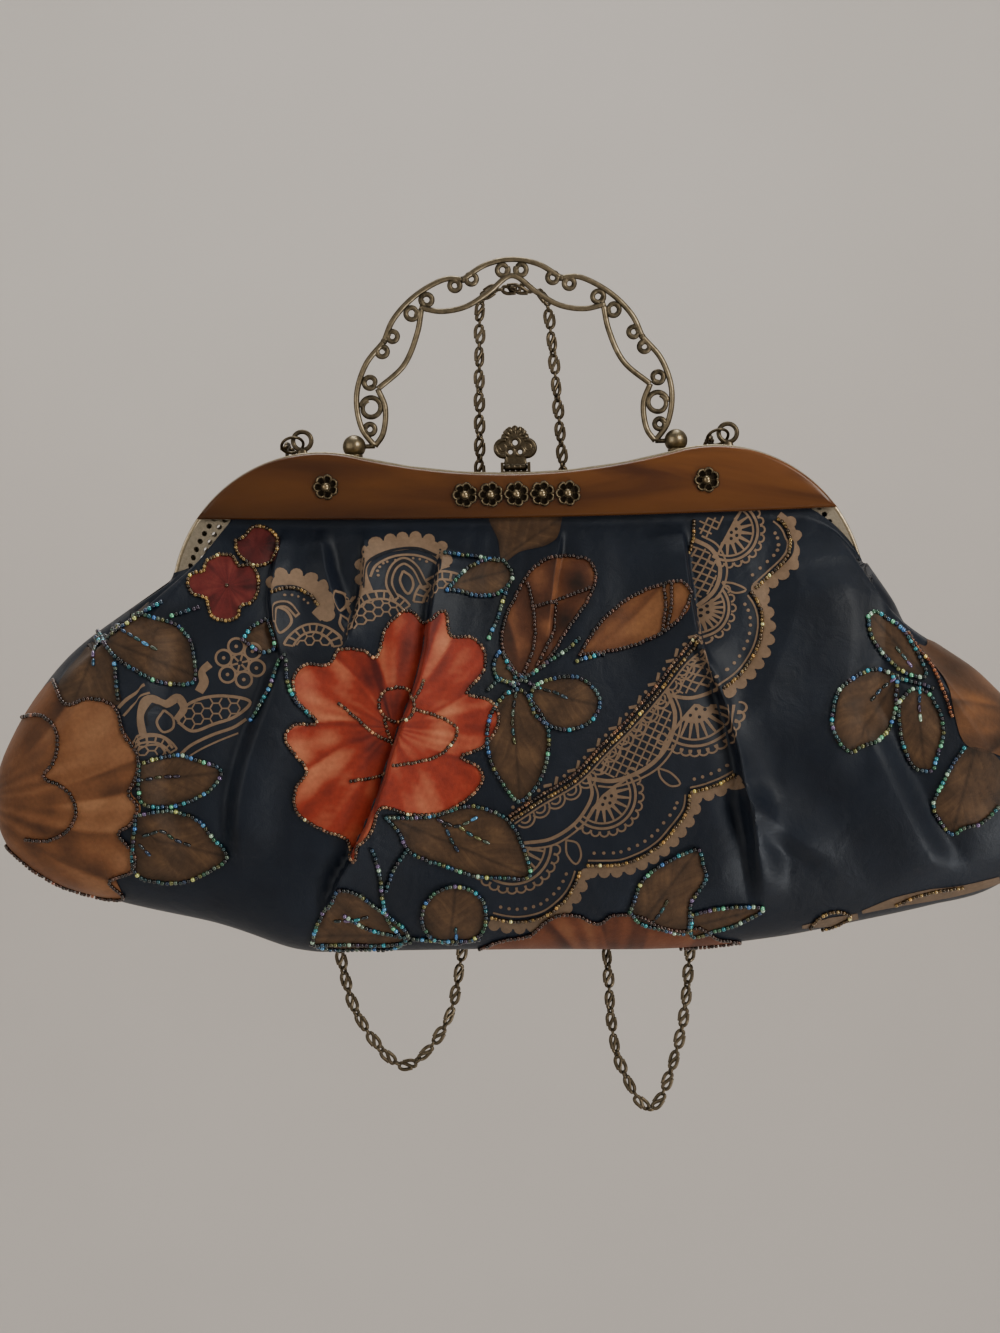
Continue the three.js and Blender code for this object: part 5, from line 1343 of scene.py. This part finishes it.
def threaded(path, radius, pitch):
    """Middles and directions of beads threaded along picture points: the row is laid on the cloth, walked in
    steps of one bead, and lifted so that the beads rest on it."""
    line = on_front(smooth_path(path, 2.0), np.float64(radius * BEAD_REST))
    walked = distances(line)
    stops = np.arange(0, walked[-1], pitch)
    ahead = points_at(stops + THREAD_STEP, walked, line) - points_at(stops - THREAD_STEP, walked, line)
    ahead = ahead / np.maximum(np.linalg.norm(ahead, axis=1, keepdims=True), 1e-6)
    return points_at(stops, walked, line), ahead


def bead_shape(radius, half):
    """A rounded barrel about x, with its two ends drawn in towards the thread."""
    lat = np.linspace(-np.pi / 2, np.pi / 2, BEAD_RINGS)[:, None]
    turn = full_turn(BEAD_SIDES)[None]
    girth = radius * np.cos(lat) ** 0.6
    length = half * np.sign(lat) * np.abs(np.sin(lat)) ** 0.8
    points = np.stack([length + 0 * turn, girth * np.cos(turn), girth * np.sin(turn)], axis=-1)
    return points, quads(BEAD_RINGS, BEAD_SIDES, wrap_columns=True)


glass, tree, shader = new_material("seed_bead_glass")
fill_inputs(shader, Base_Color=dyed(tree, object_place(tree), 0.6, 1.4, Scale=1500.0, Detail=1.0),
            Metallic=0.6, Roughness=0.17, Coat_Weight=1.0, Coat_Roughness=0.05)

rows = []
for motif in MOTIFS + LEAVES:
    colour = motif.get("beads", "iris")
    if colour:
        outline = motif["outline"]
        path = outline[: motif["open"]] if "open" in motif else outline + outline[:1]
        rows.append((colour, path, BEAD_SCALE[colour] * SEED_BEAD))
for colour, strings in STRINGS.items():
    rows += [(colour, path, BEAD_SCALE[colour] * SEED_BEAD) for path in strings.values()]
rows += [("iris", path, BUGLE_BEAD) for path in VEINS.values()]
chance = np.random.default_rng(7)
for colour, tones in BEAD_TONES.items():
    parts, tints = [], []
    for path, (radius, half, pitch) in [row[1:] for row in rows if row[0] == colour]:
        middles, ahead = threaded(path, radius, pitch)
        middles = middles + chance.normal(0, BEAD_STRAY, middles.shape)
        count = len(middles)
        points, faces = along_chain(bead_shape(radius, half), middles, ahead, chance.uniform(0, 6, count))
        parts.append((points, faces))
        picked = linear(np.asarray(tones)[chance.integers(0, len(tones), count)])
        # Painted glints: a share of the beads is tinted several times brighter; the rest vary at random in
        # tone.
        glinting = chance.random((count, 1)) < BEAD_GLINT_SHARE[colour]
        glint_and_tone = np.where(glinting, BEAD_GLINT_GAIN, chance.uniform(*BEAD_GLOW, (count, 1)))
        picked = np.concatenate([np.minimum(picked * glint_and_tone, BEAD_BRIGHTEST), np.ones((count, 1))], axis=1)
        tints.append(np.repeat(picked, points.shape[1], axis=0))
    beads = add_mesh("beads_" + colour, parts, glass, attributes={"tint": np.concatenate(tints)})
    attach(beads, "bag")

# Lace print: a cream band of fans and netting with scalloped edges, two crescents and a sprig of lace
# flowers. It is printed on the satin in fine lines, under the flowers; the gold bead rows follow its edges.
LACE_LIFT, LACE_MIDDLE_Z = 0.15, -130.0
CREAM, NAVY = (131, 110, 90), (18, 22, 31)
FANS = {  # x, y, radius, and its two sides in degrees clockwise from the right
    "lower": (602, 795, 43, -38, 128),
    "upper": (694, 704, 54, 4, 132),
    "hidden": (512, 845, 50, 6, 150),
    "top": (728, 531, 38, -62, 118),
    "fold": (700, 608, 37, -35, 88),
}
NETS = [  # name, pitch and outline
    ("lower lens", 7.5, [(593, 773), (612, 750), (632, 729), (650, 708), (664, 694), (672, 712), (670, 735),
     (660, 755), (642, 768), (617, 778)]),
    ("fold lens", 7.0, [(684, 664), (697, 652), (708, 656), (718, 672), (714, 685), (692, 693), (674, 694)]),
    ("upper lens", 7.0, [(693, 545), (705, 548), (716, 560), (717, 580), (708, 595), (697, 602)]),
    ("top corner", 6.5, [(699, 518), (724, 516), (717, 530), (707, 539), (699, 534)]),
]
BANDS = [  # name, even width and line
    ("lens edge", 4.2, [(667, 690), (675, 715), (669, 742), (655, 761), (635, 774), (612, 781), (592, 779)]),
    ("lens edge outer", 2.0, [(672, 690), (681, 715), (675, 745), (659, 767), (637, 780), (612, 787),
     (598, 786)]),
    ("left lens edge", 3.4, [(588, 776), (592, 794), (584, 812), (572, 826), (550, 839), (524, 843)]),
    ("left lens edge outer", 2.0, [(594, 782), (598, 797), (590, 816), (576, 831), (553, 845), (526, 849)]),
    ("fold lens edge", 3.6, [(668, 695), (690, 698), (710, 692), (722, 682)]),
    ("upper lens edge", 4.0, [(696, 540), (712, 550), (720, 568), (716, 588), (700, 606)]),
    ("upper lens edge outer", 2.0, [(702, 536), (718, 546), (727, 568), (722, 590), (708, 606)]),
    ("lower joint petal", 2.0, [(566, 840), (577, 843), (581, 856), (576, 864), (567, 854), (566, 840)]),
    ("upper joint petal", 2.0, [(658, 768), (671, 773), (680, 784), (671, 786), (661, 778), (658, 768)]),
    ("top joint petal", 2.0, [(722, 582), (735, 584), (746, 590), (735, 593), (726, 588), (722, 582)]),
    ("sprig arc", 3.0, [(118, 708), (126, 698), (137, 690), (148, 685)]),
    ("sprig arc two", 2.0, [(122, 716), (131, 704), (142, 697), (152, 693)]),
    ("sprig almond", 3.0, [(178, 722), (184, 708), (200, 699), (225, 696), (250, 702), (236, 716), (214, 724),
     (192, 731), (178, 722)]),
    ("sprig lower stem", 3.0, [(178, 757), (190, 746), (212, 735), (234, 727), (246, 719)]),
    ("sprig lower stem two", 1.8, [(182, 762), (196, 752), (216, 742), (238, 733)]),
    ("sprig fan ring", 2.6, [(130, 754), (138, 742), (150, 736), (164, 738), (173, 748)]),
    ("sprig fan ring two", 1.8, [(137, 757), (143, 749), (151, 745), (160, 746), (166, 754)]),
    ("sprig teardrop", 2.4, [(164, 710), (157, 722), (163, 732), (173, 728), (173, 718), (164, 710)]),
    ("crescent teardrop", 2.4, [(403, 571), (400, 581), (408, 594), (413, 586), (411, 577), (403, 571)]),
    ("left teardrop", 2.4, [(280, 606), (277, 618), (283, 632), (292, 622), (288, 611), (280, 606)]),
    ("crescent inner line", 2.2, [(373, 577), (378, 565), (392, 557), (412, 555), (428, 559), (437, 566)]),
    ("left bud petal", 2.4, [(338, 590), (334, 600), (340, 610), (347, 604), (346, 594), (338, 590)]),
    ("right bud petal", 2.4, [(352, 596), (348, 606), (354, 616), (361, 610), (359, 600), (352, 596)]),
    ("low bud petal", 2.4, [(340, 614), (336, 624), (342, 634), (350, 628), (348, 618), (340, 614)]),
]
FAN_HEART, FAN_LOOP_PITCH = 0.36, 9
FAN_RINGS = ((0.66, 2.0), (0.78, 2.6))  # share of the fan's radius, and width
FAN_DOTS = ((-0.7, 0.22), (0.7, 0.22), (0.0, 0.26), (0.0, 0.1))  # turn off the middle, share of the radius
WEB_DEPTH, WEB_CELL = 8, 5.0
WEBS = {  # two arcs joined by bars, with honeycomb under them: x, y, radius, two angles, bars
    "flower left": (382, 625, 34, 172, 325, 13),
    "flower right": (446, 605, 33, 186, 296, 9),
    "left": (313, 651, 27, 196, 345, 10),
    "sprig": (151, 764, 30, 200, 330, 9),
}
ALMOND_CELL = 6.0
SPRIG_ALMOND = [(180, 722), (186, 709), (200, 701), (225, 698), (248, 702), (235, 715), (214, 722),
    (192, 729)]
SLITS = [  # dark lines left open in the cream: name, width and line
    ("right crescent", 2.6, [(366, 588), (368, 567), (380, 555), (400, 549), (420, 549), (436, 556)]),
    ("left crescent", 2.0, [(277, 590), (290, 586), (304, 590), (314, 599)]),
    ("right petal", 3.6, [(396, 598), (389, 583), (394, 567), (404, 561), (415, 568), (423, 585)]),
    ("left petal", 3.0, [(276, 620), (278, 606), (287, 604), (297, 614)]),
    ("sprig heart", 1.8, [(150, 726), (149, 713), (156, 705), (166, 709)]),
]
CRESCENTS = [  # solid shapes drawn as a line of changing width; one with a place inside it has bumps round it
    {"shape": "right", "widths": (15, 13, 13, 12, 12, 14, 15), "inside": (405, 590),
     "through": [(368, 594), (364, 568), (375, 551), (397, 545), (420, 544), (438, 552), (445, 570)]},
    {"shape": "left", "widths": (6, 10, 12, 12, 13, 15, 12), "inside": (295, 615),
     "through": [(271, 589), (278, 582), (292, 580), (307, 584), (320, 594), (325, 607), (316, 617)]},
    {"shape": "right petal", "widths": (7, 8, 8, 8, 7, 6),
     "through": [(396, 600), (389, 583), (394, 567), (404, 561), (415, 568), (424, 588)]},
    {"shape": "left petal", "widths": (6, 7, 7, 6),
     "through": [(276, 622), (278, 606), (287, 604), (298, 616)]},
    {"shape": "sprig heart", "widths": (6, 8, 9, 7, 9, 8, 6),
     "through": [(146, 736), (143, 714), (152, 699), (166, 704), (178, 698), (184, 708), (176, 720)]},
    {"shape": "sprig leaf", "widths": (9, 10, 7, 8),
     "through": [(199, 692), (204, 682), (202, 672), (210, 664)]},
    {"shape": "hem left", "widths": (3, 9, 6),
     "through": [(802, 927), (830, 922), (858, 916)]},
    {"shape": "hem right", "widths": (3, 10, 12, 9, 7),
     "through": [(862, 912), (892, 903), (925, 896), (962, 890), (1000, 880)]},
]
BELOW_UPPER_EDGE = (700, 800)
FLOWER_AT, FLOWER_PETALS, FLOWER_REACH = (240, 663), 6, 17
EDGES = [  # scalloped edges: the bead rows named here, and a place inside each
    ("lace scallop one", (530, 880)), ("lace scallop two", (630, 810)), ("lace scallop three", (700, 740)),
    ("lace scallop four", (710, 630)), ("lace scallop five", (735, 545)),
]


def square_to(path):
    """Unit steps to the side of a line of picture points."""
    ahead = np.gradient(path, axis=0)
    return np.stack([-ahead[:, 1], ahead[:, 0]], axis=1) / np.linalg.norm(ahead, axis=1, keepdims=True)


def ribbon(through, width, step=2.0):
    """Three columns of picture points: a smooth line and its two sides, at an even or a changing width."""
    path = smooth_path(through, step)
    share = np.linspace(0, 1, len(path))
    half = np.interp(share, np.linspace(0, 1, np.size(width)), np.atleast_1d(width)) / 2
    return path[:, None] + np.array([-1, 0, 1])[None, :, None] * (half[:, None] * square_to(path))[:, None]


def dot(x, y, radius):
    """A round dot: a middle and one ring of picture points."""
    turn = np.linspace(0, 2 * np.pi, 13)
    ring = on_circle(x, y, radius, turn)
    return np.stack([np.full_like(ring, (x, y)), ring])


def arc(x, y, radius, start, end, step=3.0):
    """Picture points along part of a circle, in degrees clockwise from the right."""
    count = max(4, int(abs(end - start) / 180 * np.pi * radius / step))
    return on_circle(x, y, radius, np.radians(np.linspace(start, end, count)))


def inside(points, outline):
    """Whether picture points lie within an outline: an odd number of its sides crossed on the way out."""
    ends = np.asarray(outline, float)
    hits = np.zeros(len(points), bool)
    for (x0, y0), (x1, y1) in zip(ends, np.roll(ends, -1, axis=0)):
        crosses = (y0 > points[:, 1]) != (y1 > points[:, 1])
        hits ^= crosses & (points[:, 0] < x0 + (x1 - x0) * (points[:, 1] - y0) / (y1 - y0 + 1e-9))
    return hits


def net(outline, pitch):
    """Two sets of parallel lines across an outline, each kept only where it runs inside."""
    middle = np.mean(outline, axis=0)
    pieces = []
    for lean in (25, 115):
        ahead = np.array([math.cos(math.radians(lean)), math.sin(math.radians(lean))])
        for shift in np.arange(-60, 60, pitch):
            line = middle + shift * np.array([-ahead[1], ahead[0]]) + np.arange(-70, 70, 1.5)[:, None] * ahead
            kept = line[inside(line, outline)]
            if len(kept) > 3:
                pieces.append(ribbon(kept[[0, len(kept) // 2, -1]], 1.7))
    return pieces


def honeycomb(outline, side):
    """Sides of six-cornered cells across an outline, each kept where its middle lies inside."""
    low, high = np.min(outline, axis=0), np.max(outline, axis=0)
    corner = np.radians(np.arange(0, 240, 60))
    pieces = []
    for i in range(int((high[0] - low[0]) / (1.5 * side)) + 2):
        for j in range(int((high[1] - low[1]) / (1.732 * side)) + 2):
            middle = low + (1.5 * side * i, 1.732 * side * (j + 0.5 * (i % 2)))
            ends = middle + on_circle(0, 0, side, corner)
            for p, q in zip(ends[:-1], ends[1:]):
                if inside(np.array([(p + q) / 2]), outline)[0]:
                    pieces.append(ribbon([p, (p + q) / 2, q], 1.5))
    return pieces


def offset_row(through, away_from, distance):
    """A row moved sideways by a distance, away from a place or, when negative, towards it."""
    path = smooth_path(through, 2.0)
    aside = square_to(path)
    outward = np.sign(np.sum(aside * (path - np.asarray(away_from, float)), axis=1, keepdims=True))
    return path + distance * outward * aside


cream, dark = [], []
for x, y, radius, start, end in FANS.values():
    heart = on_circle(x, y, FAN_HEART * radius, np.radians(np.linspace(start, end, 24)))
    cream.append(np.stack([np.full_like(heart, (x, y)), heart]))
    for spoke in np.radians(np.linspace(start + 5, end - 5, 9)):
        cream.append(ribbon([on_circle(x, y, radius * r, spoke) for r in (0.34, 0.5, 0.64)], (3.6, 2.0)))
    cream += [ribbon(arc(x, y, r * radius, start - 4, end + 4), width) for r, width in FAN_RINGS]
    loops = max(5, int(radius * (end - start) / 180 * np.pi / FAN_LOOP_PITCH))
    for turn in np.linspace(start, end, loops):
        foot = on_circle(x, y, 0.87 * radius, np.radians(turn))
        cream.append(ribbon(arc(*foot, 0.1 * radius, turn - 105, turn + 105, 1.5), 1.9))
    middle = math.radians((start + end) / 2)
    for lean, reach in FAN_DOTS:
        dark.append(dot(*on_circle(x, y, reach * radius, middle + lean), 1.7))
for _, pitch, outline in NETS:
    cream += net(outline, pitch)
cream += [ribbon(path, width) for _, width, path in BANDS]
for x, y, radius, start, end, bars in WEBS.values():
    inner = radius - WEB_DEPTH
    cream += [ribbon(arc(x, y, r, start, end), 2.2) for r in (radius, inner)]
    for bar in np.radians(np.linspace(start, end, bars)):
        cream.append(ribbon([on_circle(x, y, r, bar) for r in (inner, inner + WEB_DEPTH / 2, radius)], 1.8))
    cream += honeycomb(arc(x, y, inner, start, end), WEB_CELL)
cream += honeycomb(SPRIG_ALMOND, ALMOND_CELL)
dark += [ribbon(path, width) for _, width, path in SLITS]
for shape in CRESCENTS:
    cream.append(ribbon(shape["through"], shape["widths"]))
    if "inside" in shape:
        cream += [dot(*at, 6.2) for at in offset_row(shape["through"], shape["inside"], 6.0)[2:-4:6]]
        cream += [dot(*at, 1.3) for at in offset_row(shape["through"], shape["inside"], -15.0)[8:-10:5]]
for name, within in EDGES:
    row = STRINGS["gold"][name]
    cream.append(ribbon(offset_row(row, within, 4.5)[::4], 7.0))
    cream += [dot(*at, 6.0) for at in offset_row(row, within, 7.0)[2:-1:6]]
    cream.append(ribbon(offset_row(row, within, -4.5)[::4], 1.8))
    cream += [dot(*at, 1.7) for at in offset_row(row, within, -12.0)[3:-2:5]]
upper = STRINGS["gold"]["lace upper edge"]
cream.append(ribbon(offset_row(upper, BELOW_UPPER_EDGE, -4.5)[::6], 1.8))
for k, (px, py) in enumerate(offset_row(upper, BELOW_UPPER_EDGE, 10.0)[4:-2:5]):
    lean = math.radians((-45, -12, -78)[k % 3])
    step = 4.2 * np.array([math.cos(lean), math.sin(lean)])
    grain = [(px, py) - step, (px, py), (px, py) + step]
    cream.append(dot(px, py, 1.8) if k % 3 == 0 else ribbon(grain, 3.0))
for at in offset_row(upper, BELOW_UPPER_EDGE, -5.0)[6:-4:9]:
    cream += [ribbon(arc(*at, r, -40, 130, 2), 1.9) for r in (10.0, 5.5)]
for k in range(FLOWER_PETALS):
    lean = 2 * np.pi * k / FLOWER_PETALS + 0.3
    at = on_circle(*FLOWER_AT, FLOWER_REACH, lean)
    cream += [ribbon(arc(*at, 8.0, 0, 360, 2), 2.4), dot(*at, 1.8)]
    cream.append(ribbon([on_circle(*FLOWER_AT, r, lean + 0.5) for r in (2, 5, 8)], 2.0))
cream.append(ribbon(arc(*FLOWER_AT, 9.0, 0, 360, 2), 2.2))

parts, tints = [], []
for shapes, tone, lift in ((cream, CREAM, LACE_LIFT), (dark, NAVY, LACE_LIFT + 0.05)):
    sizes = [shape.shape[0] * shape.shape[1] for shape in shapes]
    laid = on_front(np.concatenate([shape.reshape(-1, 2) for shape in shapes]), np.float64(lift), drawn=True)
    pieces = np.split(laid, np.cumsum(sizes)[:-1])
    parts += [(points, quads(*shape.shape[:2])) for points, shape in zip(pieces, shapes)]
    # Painted light: the lace is made lighter towards the top and darker lower down; the wander on top is the
    # print's uneven tone.
    light = 0.9 + 0.004 * (laid[:, 2] - LACE_MIDDLE_Z)
    light = light * (1 + 0.16 * wander(laid[:, 0] / 4 + laid[:, 2] / 5, 77))
    tints.append(np.concatenate([linear(tone) * light[:, None], np.ones((len(laid), 1))], axis=1))
for k, (points, faces) in enumerate(parts):
    a, b, c, d = (points[faces[:, n]] for n in range(4))
    if np.sum(np.cross(c - a, d - b)[:, 1]) > 0:
        parts[k] = (points, faces[:, ::-1])
lace = add_mesh("printed_lace", parts, printed, toward=(0, -1, 0), attributes={"tint": np.concatenate(tints)})
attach(lace, "bag")
